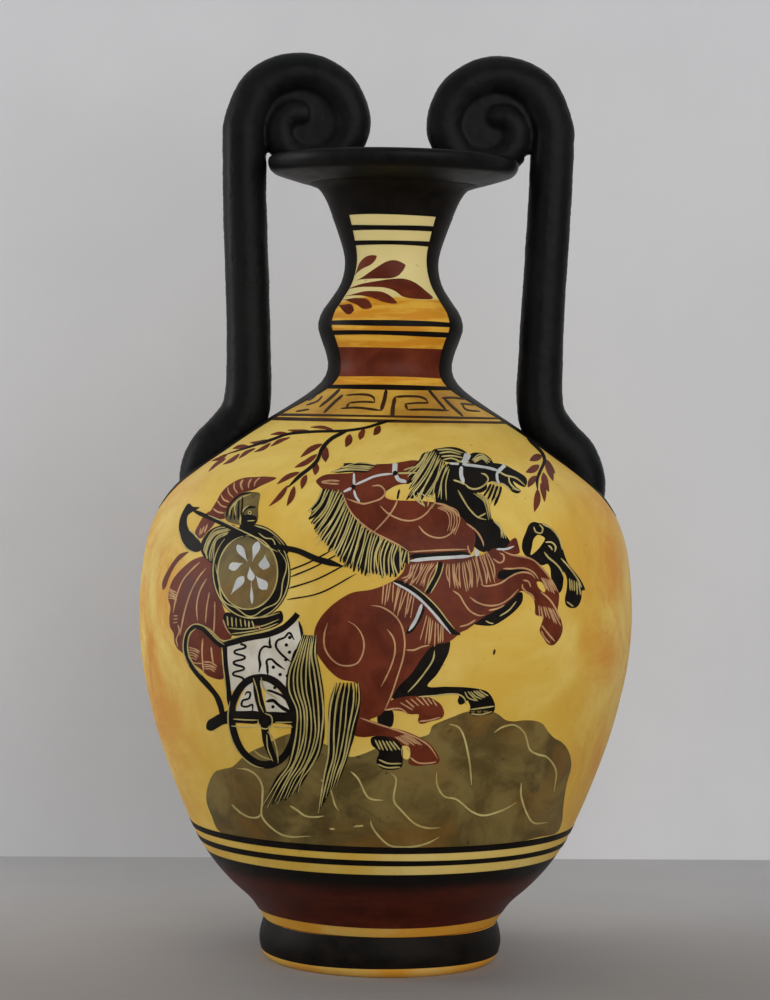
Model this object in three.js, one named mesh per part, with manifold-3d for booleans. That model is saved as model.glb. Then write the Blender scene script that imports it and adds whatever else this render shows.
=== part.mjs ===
// A painted terracotta amphora with two tall scroll handles, in millimetres, +Z up.
// The origin is the middle of the foot's resting ring. The painted front faces -Y,
// and the handles stand at -X and +X. The potter makes the vessel in sections (foot,
// lower body, shoulder, collar, neck and mouth), then rolls each handle from a root, a
// shaft and a scroll. The sections are luted together with slip: each is a solid here.
import * as THREE from "three";
import Module from "manifold-3d";
import { mergeVertices } from "three/addons/utils/BufferGeometryUtils.js";

const wasm = await Module();
wasm.setup();

// Driving dimensions
const JOINT_GAP = 0.3; // room for the slip between two luted pieces
const BODY_WALL = 5.0;
const NECK_WALL = 4.6;
const FOOT_TOP = 13.0;
const FOOT_RECESS = 1.8; // depth of the hollow inside the resting ring
const RESTING_WIDTH = 6.2; // width of the flat ring that the vessel stands on
const FLOOR_TOP = 19.5; // the inside floor of the lower body
const FLOOR_FILLET = 3.0; // height of the bevel round that floor
const BELLY_HEIGHT = 114.0; // where the two halves of the body meet, at the greatest diameter
const COLLAR_BASE = 191.0; // where the collar sits on the shoulder
const COLLAR_TOP = 205.4; // the crease under the neck's bulge
const NECK_TOP = 255.5;

// Facets
const LATHE_SIDES = 40;
const ROLL_SIDES = 12;
const MOUTH_STEPS = 6;
const FOOT_FINENESS = 2; // straight steps between two points of the foot's outline
const WEB_SIDES = 24;
const SCROLL_STEPS = 34;
const SHAFT_STEPS = 14;
const ROOT_STEPS = 12;

// Outer outlines as [radius, height]. Each runs upwards and is smoothed by a spline.
const FOOT_OUTLINE = [
  [37.1, 0],
  [39.1, 1.9],
  [40.2, 6.2],
  [39.6, 10.4],
  [38.7, FOOT_TOP],
];
const LOWER_BODY_OUTLINE = [
  [38.8, FOOT_TOP + JOINT_GAP],
  [43.5, 20],
  [50.0, 26],
  [55.6, 32.2],
  [61.1, 40.4],
  [66.5, 52],
  [71.2, 64],
  [75.3, 76],
  [78.4, 88],
  [80.7, 100],
  [81.7, BELLY_HEIGHT],
];
const SHOULDER_OUTLINE = [
  [81.7, BELLY_HEIGHT + JOINT_GAP],
  [81.0, 128],
  [79.0, 140],
  [75.4, 149],
  [70.5, 156],
  [63.2, 162.4],
  [54.5, 168.8],
  [47.5, 173.8],
  [39.5, 179.0],
  [31.8, 183.9],
  [26.0, 187.9],
  [22.6, COLLAR_BASE],
];
const COLLAR_OUTLINE = [
  [22.4, COLLAR_BASE + JOINT_GAP],
  [20.9, 193.8],
  [20.35, 197.0],
  [21.1, 200.9],
  [22.7, COLLAR_TOP],
];
const NECK_OUTLINE = [
  [22.9, COLLAR_TOP + JOINT_GAP],
  [23.9, 209.6],
  [22.9, 213.9],
  [19.9, 218.4],
  [16.8, 223.3],
  [15.4, 228.6],
  [15.5, 233.0],
  [17.3, 239.3],
  [20.0, 246.6],
  [22.2, 251.8],
  [25.0, NECK_TOP],
];
// The mouth's whole section: up the dished top from the throat, over the lip and back underneath.
const MOUTH_TOP = [
  [19.6, NECK_TOP + JOINT_GAP],
  [22.6, 259.2],
  [28.0, 262.0],
  [34.0, 263.8],
  [38.6, 265.1],
  [40.3, 265.6],
];
const MOUTH_UNDERSIDE = [
  [41.3, 264.8],
  [41.5, 263.2],
  [40.9, 261.4],
  [39.6, 260.1],
  [37.6, 259.3],
  [31.0, 257.3],
  [25.4, NECK_TOP + JOINT_GAP],
];

// A handle, as drawn on the +X side.
const HANDLE_SHIFT = 1.5; // both handles were luted on this far towards +X
const SCROLL_EYE = [31.9, 275.6]; // x and z of the scroll's middle
const SCROLL_START = 268; // height where the shaft meets the scroll
const ROOT_TOP = 187; // height where the root meets the shaft
const SHAFT_RADIUS = 7.2;
const WEB_RADIUS = 14.5; // the web of clay that closes the middle of the scroll
const WEB_THICKNESS = 7.0;
// [degrees round the eye from the outer side over the top, distance of the roll's
// middle from the eye, radius of the roll]
const SCROLL_TURN = [
  [0, 19.1, 7.2],
  [45, 18.4, 7.1],
  [90, 17.6, 6.8],
  [135, 17.0, 6.6],
  [180, 16.3, 6.3],
  [225, 14.0, 6.0],
  [270, 10.6, 5.6],
  [315, 8.2, 5.3],
  [360, 6.5, 5.1],
  [405, 5.5, 4.8],
  [440, 5.0, 4.5],
];
// [x, z, radius] of the shaft and of the root that lies down along the shoulder
const SHAFT_LINE = [
  [48.4, ROOT_TOP + JOINT_GAP, 7.8],
  [48.5, 201, 7.4],
  [49.1, 220, SHAFT_RADIUS],
  [50.2, 243, SHAFT_RADIUS],
  [51.0, SCROLL_START - JOINT_GAP, SHAFT_RADIUS],
];
const ROOT_LINE = [
  [48.4, ROOT_TOP, 7.8],
  [49.6, 180, 8.0],
  [54.2, 173.2, 8.1],
  [60.0, 167.6, 7.8],
  [63.0, 161, 7.4],
  [63.4, 152.5, 7.0],
];

// Materials
const paint = (color, roughness) => new THREE.MeshStandardMaterial({ color, roughness, metalness: 0 });
const ochre = paint(0xd2ac52, 0.6);
const black = paint(0x17181a, 0.45);

// Helpers
const spline = (points, steps = points.length - 1) =>
  new THREE.SplineCurve(points.map(([r, z]) => new THREE.Vector2(r, z))).getPoints(steps);

// Moves an upward outline sideways by a distance: positive towards the inside of the pot.
function offset(outline, distance) {
  return outline.map((point, i) => {
    const before = outline[Math.max(i - 1, 0)];
    const after = outline[Math.min(i + 1, outline.length - 1)];
    const along = after.clone().sub(before).normalize();
    return new THREE.Vector2(point.x - along.y * distance, point.y + along.x * distance);
  });
}

// A solid of revolution about Z from a profile that goes counter-clockwise round the clay.
function turned(profile) {
  const geometry = new THREE.LatheGeometry(profile, LATHE_SIDES);
  return geometry.rotateX(Math.PI / 2);
}

// The stretch of an upward outline between two heights, cut level at both.
function between(outline, low, high) {
  const radiusAt = (z) => {
    const above = outline.findIndex((point) => point.y >= z);
    const i = above < 0 ? outline.length - 1 : Math.max(above, 1);
    const [a, b] = [outline[i - 1], outline[i]];
    return THREE.MathUtils.lerp(a.x, b.x, THREE.MathUtils.clamp((z - a.y) / (b.y - a.y), 0, 1));
  };
  const middle = outline.filter((point) => point.y > low && point.y < high);
  return [new THREE.Vector2(radiusAt(low), low), ...middle, new THREE.Vector2(radiusAt(high), high)];
}

// A closed ring of clay between an outer outline and its own inner face.
function ringSection(outer, wall) {
  const [low, high] = [outer[0].y, outer[outer.length - 1].y];
  const inner = between(offset(outer, wall), low, high);
  return [...outer, ...inner.reverse(), outer[0].clone()];
}

// A roll of clay along a line in the XZ plane. Each entry of the line is [x, z, radius].
// levelEnds lists the ends, 0 for the start and 1 for the finish, that are cut level.
function roll(line, steps, levelEnds) {
  const middle = new THREE.CatmullRomCurve3(line.map(([x, z]) => new THREE.Vector3(x, 0, z)));
  const radius = new THREE.CatmullRomCurve3(line.map(([, , r], i) => new THREE.Vector3(i, r, 0)));
  const positions = [];
  const index = [];
  for (let i = 0; i <= steps; i++) {
    const centre = middle.getPoint(i / steps);
    const along = middle.getTangent(i / steps);
    if (levelEnds.includes(i / steps)) along.set(0, 0, Math.sign(along.z));
    const across = new THREE.Vector3(along.z, 0, -along.x);
    const size = radius.getPoint(i / steps).y;
    for (let k = 0; k < ROLL_SIDES; k++) {
      const turn = (2 * Math.PI * k) / ROLL_SIDES;
      const spot = centre.clone().addScaledVector(across, size * Math.cos(turn));
      positions.push(spot.x, size * Math.sin(turn), spot.z);
    }
  }
  for (let i = 0; i < steps; i++) {
    for (let k = 0; k < ROLL_SIDES; k++) {
      const a = i * ROLL_SIDES + k;
      const b = i * ROLL_SIDES + ((k + 1) % ROLL_SIDES);
      index.push(a, b, a + ROLL_SIDES, b, b + ROLL_SIDES, a + ROLL_SIDES);
    }
  }
  const last = steps * ROLL_SIDES;
  for (let k = 1; k < ROLL_SIDES - 1; k++) {
    index.push(0, k + 1, k, last, last + k, last + k + 1);
  }
  const geometry = new THREE.BufferGeometry();
  geometry.setAttribute("position", new THREE.Float32BufferAttribute(positions, 3));
  return geometry.setIndex(index);
}

// Booleans between geometries
function solid(geometry) {
  const bare = new THREE.BufferGeometry();
  bare.setAttribute("position", geometry.getAttribute("position").clone());
  bare.setIndex(geometry.getIndex());
  const merged = mergeVertices(bare, 1e-4);
  const vertProperties = merged.attributes.position.array;
  const triVerts = new Uint32Array(merged.index.array);
  return new wasm.Manifold(new wasm.Mesh({ numProp: 3, vertProperties, triVerts }));
}

function geometryOf(manifold) {
  const { vertProperties, triVerts } = manifold.getMesh();
  const geometry = new THREE.BufferGeometry();
  geometry.setAttribute("position", new THREE.BufferAttribute(vertProperties, 3));
  return geometry.setIndex(new THREE.BufferAttribute(triVerts, 1));
}

// The vessel's sections
function foot() {
  const side = spline(FOOT_OUTLINE, FOOT_FINENESS * (FOOT_OUTLINE.length - 1));
  const innerEdge = FOOT_OUTLINE[0][0] - RESTING_WIDTH;
  const recess = [
    new THREE.Vector2(0, FOOT_RECESS),
    new THREE.Vector2(innerEdge - FOOT_RECESS, FOOT_RECESS),
    new THREE.Vector2(innerEdge, 0),
  ];
  return turned([...recess, ...side, new THREE.Vector2(0, FOOT_TOP)]);
}

function lowerBody() {
  const outer = spline(LOWER_BODY_OUTLINE);
  const cavity = between(offset(outer, BODY_WALL), FLOOR_TOP + FLOOR_FILLET, BELLY_HEIGHT).reverse();
  const floorEdge = new THREE.Vector2(cavity[cavity.length - 1].x - 2 * FLOOR_FILLET, FLOOR_TOP);
  const base = new THREE.Vector2(0, outer[0].y);
  return turned([base, ...outer, ...cavity, floorEdge, new THREE.Vector2(0, FLOOR_TOP)]);
}

function shoulder() {
  return turned(ringSection(spline(SHOULDER_OUTLINE), BODY_WALL));
}

function collar() {
  return turned(ringSection(spline(COLLAR_OUTLINE), NECK_WALL));
}

function neck() {
  return turned(ringSection(spline(NECK_OUTLINE), NECK_WALL));
}

function mouth() {
  const section = [...spline(MOUTH_TOP, MOUTH_STEPS), ...spline(MOUTH_UNDERSIDE, MOUTH_STEPS)];
  return turned([...section, section[0].clone()].reverse());
}

// What the mouth and the shoulder fill, grown by the joint gap, to cut the handles.
// axisX is where the vessel's axis lies in the handle's own drawing.
function mouthCutter(axisX) {
  const top = spline(MOUTH_TOP, MOUTH_STEPS);
  for (const point of top) point.y += JOINT_GAP;
  const rim = MOUTH_UNDERSIDE[1][0] + JOINT_GAP;
  const outline = [
    new THREE.Vector2(0, NECK_TOP),
    new THREE.Vector2(rim, NECK_TOP),
    new THREE.Vector2(rim, MOUTH_UNDERSIDE[0][1]),
    ...top.reverse(),
    new THREE.Vector2(0, NECK_TOP + 2 * JOINT_GAP),
  ];
  return solid(turned(outline).translate(axisX, 0, 0));
}

function shoulderCutter(axisX) {
  const skin = offset(spline(SHOULDER_OUTLINE), -JOINT_GAP);
  const top = new THREE.Vector2(0, skin[skin.length - 1].y);
  return solid(turned([new THREE.Vector2(0, BELLY_HEIGHT), ...skin, top]).translate(axisX, 0, 0));
}

// The handle's three rolls, on the +X side
function scrollLine() {
  const [eyeX, eyeZ] = SCROLL_EYE;
  const turn = SCROLL_TURN.map(([degrees, distance, size]) => {
    const angle = THREE.MathUtils.degToRad(degrees);
    return [eyeX + distance * Math.cos(angle), eyeZ + distance * Math.sin(angle), size];
  });
  return [[eyeX + SCROLL_TURN[0][1], SCROLL_START, SHAFT_RADIUS], ...turn];
}

function volute(axisX) {
  const web = new THREE.CylinderGeometry(WEB_RADIUS, WEB_RADIUS, WEB_THICKNESS, WEB_SIDES);
  web.translate(SCROLL_EYE[0], 0, SCROLL_EYE[1]);
  const scroll = solid(roll(scrollLine(), SCROLL_STEPS, [0]));
  return geometryOf(scroll.add(solid(web)).subtract(mouthCutter(axisX)));
}

const handleShaft = () => roll(SHAFT_LINE, SHAFT_STEPS, [0, 1]);

function handleRoot(axisX) {
  return geometryOf(solid(roll(ROOT_LINE, ROOT_STEPS, [0])).subtract(shoulderCutter(axisX)));
}

// Assembly
const amphora = new THREE.Group();

function place(parent, name, geometry, material) {
  const mesh = new THREE.Mesh(geometry, material);
  mesh.name = name;
  parent.add(mesh);
}

place(amphora, "foot", foot(), black);
place(amphora, "lower_body", lowerBody(), ochre);
place(amphora, "shoulder", shoulder(), ochre);
place(amphora, "collar", collar(), ochre);
place(amphora, "neck", neck(), ochre);
place(amphora, "mouth", mouth(), black);

for (const [side, sign] of [["left", -1], ["right", 1]]) {
  const handle = new THREE.Group();
  const axisX = -sign * HANDLE_SHIFT;
  handle.scale.x = sign;
  handle.position.x = HANDLE_SHIFT;
  place(handle, `handle_root_${side}`, handleRoot(axisX), black);
  place(handle, `handle_shaft_${side}`, handleShaft(), black);
  place(handle, `volute_${side}`, volute(axisX), black);
  amphora.add(handle);
}

export default amphora;
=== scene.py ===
import math

import bmesh
import bpy
import numpy as np
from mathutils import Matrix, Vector, noise
from mathutils.geometry import delaunay_2d_cdt


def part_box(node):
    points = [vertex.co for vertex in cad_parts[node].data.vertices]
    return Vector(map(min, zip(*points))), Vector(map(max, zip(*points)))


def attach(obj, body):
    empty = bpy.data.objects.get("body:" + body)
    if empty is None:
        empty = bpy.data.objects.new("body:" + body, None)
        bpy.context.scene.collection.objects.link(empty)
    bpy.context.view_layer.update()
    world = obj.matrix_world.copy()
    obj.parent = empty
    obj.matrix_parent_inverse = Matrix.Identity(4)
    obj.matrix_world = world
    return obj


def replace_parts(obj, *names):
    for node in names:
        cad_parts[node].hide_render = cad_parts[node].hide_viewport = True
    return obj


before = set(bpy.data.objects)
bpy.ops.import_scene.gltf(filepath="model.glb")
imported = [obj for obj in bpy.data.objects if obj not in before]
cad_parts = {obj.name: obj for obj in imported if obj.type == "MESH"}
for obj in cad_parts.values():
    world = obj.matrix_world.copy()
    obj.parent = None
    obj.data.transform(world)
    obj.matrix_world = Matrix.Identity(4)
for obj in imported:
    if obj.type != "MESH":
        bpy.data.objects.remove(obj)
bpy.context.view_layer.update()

# A painted terracotta amphora. Lengths below are in millimetres, and MM turns them into Blender's metres.
# The clay follows the CAD nodes' own outlines. The paint lies on it in thin closed layers.
MM = 0.001
TURN_SIDES = 256
OUTLINE_STEP = 1.0


# ---------------------------------------------------------------- outlines from the frame

def rings(node, facing):
    """The (radius, height) points of a turned CAD node's faces that look outwards (1) or inwards (-1)."""
    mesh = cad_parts[node].data
    found = {}
    for face in mesh.polygons:
        centre = Vector((face.center.x, face.center.y, 0)).normalized()
        if face.normal.dot(centre) * facing < 0.12:
            continue
        for i in face.vertices:
            co = mesh.vertices[i].co / MM
            found[round(co.z, 1)] = (math.hypot(co.x, co.y), co.z)
    return [found[z] for z in sorted(found)]


def catmull(points, step, closed=False):
    """Points about step apart along a smooth curve through the given ones."""
    p = np.array(points, float)
    count = len(p)
    result = []
    for i in range(count if closed else count - 1):
        if closed:
            a, b, c, d = (p[(i + k) % count] for k in (-1, 0, 1, 2))
        else:
            b, c = p[i], p[i + 1]
            a = p[i - 1] if i else 2 * b - c
            d = p[i + 2] if i + 2 < count else 2 * c - b
        ta = 0.0
        tb = ta + max(np.linalg.norm(b - a), 1e-6) ** 0.5
        tc = tb + max(np.linalg.norm(c - b), 1e-6) ** 0.5
        td = tc + max(np.linalg.norm(d - c), 1e-6) ** 0.5
        steps = max(1, int(math.ceil(np.linalg.norm(c - b) / step)))
        for t in np.linspace(tb, tc, steps, endpoint=False):
            ab = (tb - t) / (tb - ta) * a + (t - ta) / (tb - ta) * b
            bc = (tc - t) / (tc - tb) * b + (t - tb) / (tc - tb) * c
            cd = (td - t) / (td - tc) * c + (t - tc) / (td - tc) * d
            abc = (tc - t) / (tc - ta) * ab + (t - ta) / (tc - ta) * bc
            bcd = (td - t) / (td - tb) * bc + (t - tb) / (td - tb) * cd
            result.append((tc - t) / (tc - tb) * abc + (t - tb) / (tc - tb) * bcd)
    if not closed:
        result.append(p[-1])
    return np.array(result)


BODY = ("lower_body", "shoulder", "collar", "neck", "mouth")


def joined(facing):
    """One smooth outline over the body's nodes, split again where two of them meet, with their gap closed."""
    points = []
    joints = []
    for node in BODY:
        ring = rings(node, facing)
        points += ring[1:] if points else ring
        joints.append(len(points) - 1)
    curve = catmull(points, OUTLINE_STEP)
    parts = {}
    start = 0
    for node, joint in zip(BODY, joints):
        end = int(np.argmin(np.hypot(*(curve - points[joint]).T)))
        parts[node] = curve[start:end + 1]
        start = end
    return parts


OUTER = joined(1)
INNER = joined(-1)
OUTER["foot"] = catmull(rings("foot", 1), OUTLINE_STEP)
SKIN = np.concatenate([OUTER[node] for node in ("foot",) + BODY])
SKIN = SKIN[np.argsort(SKIN[:, 1], kind="stable")]


def skin_radius(z):
    """The vessel's outer radius at a height."""
    return np.interp(z, SKIN[:, 1], SKIN[:, 0])


def skin_normal(z):
    """The outward and upward parts of the skin's normal at a height."""
    slope = (skin_radius(z + 0.6) - skin_radius(z - 0.6)) / 1.2
    length = np.sqrt(1 + slope ** 2)
    return 1 / length, -slope / length


# ---------------------------------------------------------------- pieces

def piece(name, verts, faces, material, smooth=True):
    """A mesh object of the visual model, which rides on the vessel's one body."""
    mesh = bpy.data.meshes.new(name)
    mesh.from_pydata([tuple(v) for v in verts], [], [tuple(f) for f in faces])
    mesh.validate()
    mesh.polygons.foreach_set("use_smooth", [smooth] * len(mesh.polygons))
    mesh.materials.append(material)
    thing = bpy.data.objects.new(name, mesh)
    bpy.context.scene.collection.objects.link(thing)
    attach(thing, "root")
    return thing


def sharpen(thing, degrees):
    """Edges that turn more than this stay crisp."""
    work = bmesh.new()
    work.from_mesh(thing.data)
    for edge in work.edges:
        edge.smooth = edge.calc_face_angle(0) < math.radians(degrees)
    work.to_mesh(thing.data)
    work.free()


def turned(name, profile, material):
    """A closed solid of revolution. The profile runs round the clay with the clay on its left."""
    profile = np.array(profile)
    verts = []
    starts = []
    for r, z in profile:
        starts.append(len(verts))
        if r < 0.01:
            verts.append((0, 0, z * MM))
            continue
        for k in range(TURN_SIDES):
            angle = 2 * math.pi * k / TURN_SIDES
            verts.append((r * math.cos(angle) * MM, r * math.sin(angle) * MM, z * MM))
    faces = []
    rows = len(profile)
    for i in range(rows):
        j = (i + 1) % rows
        low, high = profile[i][0] < 0.01, profile[j][0] < 0.01
        if low and high:
            continue
        for k in range(TURN_SIDES):
            m = (k + 1) % TURN_SIDES
            a = starts[i] + (0 if low else k)
            b = starts[i] + (0 if low else m)
            c = starts[j] + (0 if high else m)
            d = starts[j] + (0 if high else k)
            faces.append([v for n, v in enumerate((a, b, c, d)) if v not in (a, b, c, d)[:n]])
    thing = piece(name, verts, faces, material)
    sharpen(thing, 40)
    return thing


# ---------------------------------------------------------------- materials

class Paint:
    """Builds one procedural material on a Principled shader, in object space."""

    def __init__(self, name, roughness, shine=0.3):
        self.material = bpy.data.materials.new(name)
        self.material.use_nodes = True
        self.tree = self.material.node_tree
        self.shader = self.tree.nodes["Principled BSDF"]
        self.shader.inputs["Roughness"].default_value = roughness
        self.shader.inputs["Specular IOR Level"].default_value = shine
        self.place = self.tree.nodes.new("ShaderNodeTexCoord").outputs["Object"]

    def add(self, kind, inputs, **settings):
        node = self.tree.nodes.new(kind)
        for key, value in settings.items():
            setattr(node, key, value)
        for key, value in inputs.items():
            if isinstance(value, bpy.types.NodeSocket):
                self.tree.links.new(value, node.inputs[key])
            else:
                node.inputs[key].default_value = value
        return node

    def stretched(self, x, y, z):
        return self.add("ShaderNodeMapping", {"Vector": self.place, "Scale": (x, y, z)}).outputs[0]

    def noise(self, scale, detail=4.0, rough=0.55, at=None, distortion=0.0):
        node = self.add("ShaderNodeTexNoise", {"Vector": at or self.place, "Scale": scale, "Detail": detail,
                                               "Roughness": rough, "Distortion": distortion})
        return node.outputs["Fac"]

    def band(self, value, low, high, to_low=0.0, to_high=1.0):
        """A smooth step from low to high."""
        return self.add("ShaderNodeMapRange", {"Value": value, "From Min": low, "From Max": high,
                                               "To Min": to_low, "To Max": to_high},
                        interpolation_type="SMOOTHSTEP").outputs[0]

    def math(self, operation, a, b=0.0):
        return self.add("ShaderNodeMath", {0: a, 1: b}, operation=operation).outputs[0]

    def mix(self, factor, a, b, blend="MIX"):
        node = self.tree.nodes.new("ShaderNodeMix")
        node.data_type = "RGBA"
        node.blend_type = blend
        for socket, value in ((node.inputs[0], factor), (node.inputs[6], a), (node.inputs[7], b)):
            if isinstance(value, bpy.types.NodeSocket):
                self.tree.links.new(value, socket)
            elif isinstance(value, tuple):
                socket.default_value = (*value, 1)
            else:
                socket.default_value = value
        return node.outputs[2]

    def height(self, axis):
        return self.add("ShaderNodeSeparateXYZ", {0: self.place}).outputs[axis]

    def finish(self, color, bump=None, strength=0.2, distance=0.0002, roughness=None):
        self.tree.links.new(color, self.shader.inputs["Base Color"])
        if roughness is not None:
            self.tree.links.new(roughness, self.shader.inputs["Roughness"])
        if bump is not None:
            node = self.add("ShaderNodeBump", {"Height": bump, "Strength": strength, "Distance": distance})
            self.tree.links.new(node.outputs[0], self.shader.inputs["Normal"])
        return self.material


def ochre_ground():
    """Ochre slip, darker orange in patches towards the two sides under the handles, and washed with orange
    under the bands.
    """
    p = Paint("ochre_ground", 0.55)
    cloud = p.band(p.noise(22, 5, 0.6, distortion=0.6), 0.35, 0.68)
    color = p.mix(cloud, (0.80, 0.50, 0.065), (0.90, 0.65, 0.155))
    # Darker orange in noisy patches towards the left and right sides, by distance across from the
    # front-to-back plane.
    side = p.band(p.math("ABSOLUTE", p.height("X")), 0.046, 0.080)
    wash = p.math("MULTIPLY", side, p.band(p.noise(30, 5, 0.65, distortion=1.2), 0.36, 0.66))
    color = p.mix(wash, color, (0.74, 0.28, 0.018))
    streak = p.band(p.noise(1.0, 6, 0.6, at=p.stretched(60, 60, 16)), 0.5, 0.74, 0, 0.35)
    color = p.mix(streak, color, (0.64, 0.34, 0.032))
    pale = p.band(p.noise(9, 3, 0.5), 0.50, 0.70, 0, 0.6)
    color = p.mix(pale, color, (0.94, 0.76, 0.32))
    edge = p.math("ADD", p.height("Z"), p.math("MULTIPLY", p.noise(38, 4, 0.6), 0.008))
    color = p.mix(p.band(edge, 0.2215, 0.2235), color, (0.92, 0.76, 0.32))
    orange = p.mix(p.band(p.noise(1.0, 4, 0.6, at=p.stretched(50, 50, 420)), 0.42, 0.62),
                   (0.74, 0.30, 0.012), (0.92, 0.50, 0.05))
    neck_wash = p.math("MULTIPLY", p.band(edge, 0.1915, 0.194), p.band(edge, 0.2225, 0.2215))
    color = p.mix(neck_wash, color, orange)
    key_wash = p.math("MULTIPLY", p.band(edge, 0.181, 0.184), p.band(edge, 0.1945, 0.1925))
    stain = p.mix(p.band(p.noise(34, 4, 0.6), 0.4, 0.62), (0.46, 0.19, 0.012), (0.80, 0.45, 0.06))
    color = p.mix(p.math("MULTIPLY", key_wash, 0.8), color, stain)
    low_wash = p.math("MULTIPLY", p.band(edge, 0.042, 0.030), p.band(p.noise(24, 4, 0.6), 0.38, 0.6, 0.35, 1))
    color = p.mix(low_wash, color, (0.80, 0.36, 0.03))
    fleck = p.band(p.noise(520, 2, 0.5), 0.70, 0.77, 0, 0.4)
    color = p.mix(fleck, color, (0.30, 0.13, 0.02))
    grain = p.noise(1400, 3, 0.6)
    brush = p.noise(1.0, 4, 0.6, at=p.stretched(90, 90, 700))
    relief = p.math("ADD", grain, brush)
    return p.finish(color, relief, 0.16, 0.00012, p.band(cloud, 0, 1, 0.5, 0.62))


def slip(name, dark, light, roughness, brush_z, streak=0.6, shine=0.3, fade=None):
    """Brushed slip paint. A high brush_z runs the strokes round the vessel, and a low one up it."""
    p = Paint(name, roughness, shine)
    strokes = p.noise(1.0, 5, 0.65, at=p.stretched(130, 130, brush_z))
    cloud = p.noise(70, 4, 0.6, distortion=0.8)
    both = p.math("ADD", p.math("MULTIPLY", strokes, streak), p.math("MULTIPLY", cloud, 1 - streak))
    color = p.mix(p.band(both, 0.36, 0.66), dark, light)
    speck = p.band(p.noise(900, 2, 0.5), 0.70, 0.78, 0, 0.5)
    color = p.mix(speck, color, tuple(min(1, 1.8 * c + 0.01) for c in light))
    if fade is not None:
        uneven = p.math("ADD", p.height("Z"), p.math("MULTIPLY", p.noise(60, 4, 0.6), 0.003))
        color = p.mix(p.band(uneven, *fade), color, (0.006, 0.0045, 0.003))
    relief = p.math("ADD", strokes, p.math("MULTIPLY", p.noise(1500, 3, 0.6), 0.5))
    return p.finish(color, relief, 0.22, 0.00014, p.band(both, 0.3, 0.7, roughness - 0.07, roughness + 0.08))


def stained_olive():
    """Thin olive slip over ochre, with brown and green pools where the brush rested."""
    p = Paint("olive_paint", 0.5)
    pools = p.noise(46, 5, 0.62, distortion=0.9)
    color = p.mix(p.band(pools, 0.36, 0.64), (0.105, 0.070, 0.015), (0.235, 0.165, 0.045))
    rust = p.band(p.noise(30, 4, 0.6, distortion=0.5), 0.52, 0.70, 0, 0.7)
    color = p.mix(rust, color, (0.225, 0.105, 0.014))
    dark = p.band(p.noise(64, 4, 0.6), 0.58, 0.72, 0, 0.6)
    color = p.mix(dark, color, (0.060, 0.040, 0.010))
    speck = p.band(p.noise(420, 2, 0.5), 0.70, 0.76, 0, 0.7)
    color = p.mix(speck, color, (0.035, 0.022, 0.008))
    return p.finish(color, p.noise(900, 4, 0.6), 0.22, 0.00014, p.band(pools, 0.3, 0.7, 0.44, 0.6))


def bare_clay():
    """Unglazed terracotta, gritty and ribbed by the wheel."""
    p = Paint("bare_clay", 0.85)
    cloud = p.noise(45, 5, 0.6)
    color = p.mix(p.band(cloud, 0.35, 0.65), (0.42, 0.19, 0.09), (0.56, 0.29, 0.15))
    grit = p.band(p.noise(1100, 2, 0.5), 0.68, 0.76, 0, 0.6)
    color = p.mix(grit, color, (0.70, 0.50, 0.34))
    wheel = p.noise(1.0, 3, 0.5, at=p.stretched(8, 8, 900))
    return p.finish(color, p.math("ADD", wheel, p.noise(1600, 3, 0.6)), 0.35, 0.0002)


OCHRE = ochre_ground()
BLACK = slip("black_slip", (0.0045, 0.0045, 0.0046), (0.0098, 0.0098, 0.0094), 0.42, 24, 0.6, 0.10)
BLACK_PAINT = slip("black_paint", (0.0042, 0.0034, 0.0026), (0.0125, 0.009, 0.006), 0.5, 200, 0.6, 0.09)
BROWN = slip("brown_paint", (0.022, 0.009, 0.003), (0.062, 0.022, 0.005), 0.5, 130)
MAROON = slip("maroon_paint", (0.105, 0.016, 0.005), (0.19, 0.035, 0.012), 0.44, 130, 0.35, 0.15)
FOOT_MAROON = slip("foot_maroon_paint", (0.060, 0.008, 0.003), (0.110, 0.019, 0.007), 0.44, 500, 0.5, 0.15,
                   (0.0295, 0.0355))
OLIVE = stained_olive()
CREAM = slip("cream_line", (0.42, 0.335, 0.105), (0.70, 0.58, 0.225), 0.55, 130, 0.5)
ROSE = slip("rose_line", (0.44, 0.215, 0.095), (0.70, 0.41, 0.185), 0.5, 130, 0.5)
WHITE = slip("white_paint", (0.52, 0.53, 0.51), (0.72, 0.72, 0.68), 0.5, 130, 0.5)
PANEL_WHITE = slip("white_panel", (0.62, 0.55, 0.42), (0.82, 0.76, 0.64), 0.5, 130, 0.5)
CLAY = bare_clay()

# ---------------------------------------------------------------- the turned sections

PAINTED_INSIDE = 236.0
FLOOR_DROP = 3.1
NECK_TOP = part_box("neck")[1].z / MM


def floor_corner(radius, height):
    """The inside corner between wall and floor, from where the wall's own outline ends."""
    return [(radius - 4.2, height - 2.4), (radius - 12, height - FLOOR_DROP)]


def ring_profile(node):
    """A section's outline: up its outer face and down its inner one."""
    return np.concatenate([OUTER[node], INNER[node][::-1]])


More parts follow.
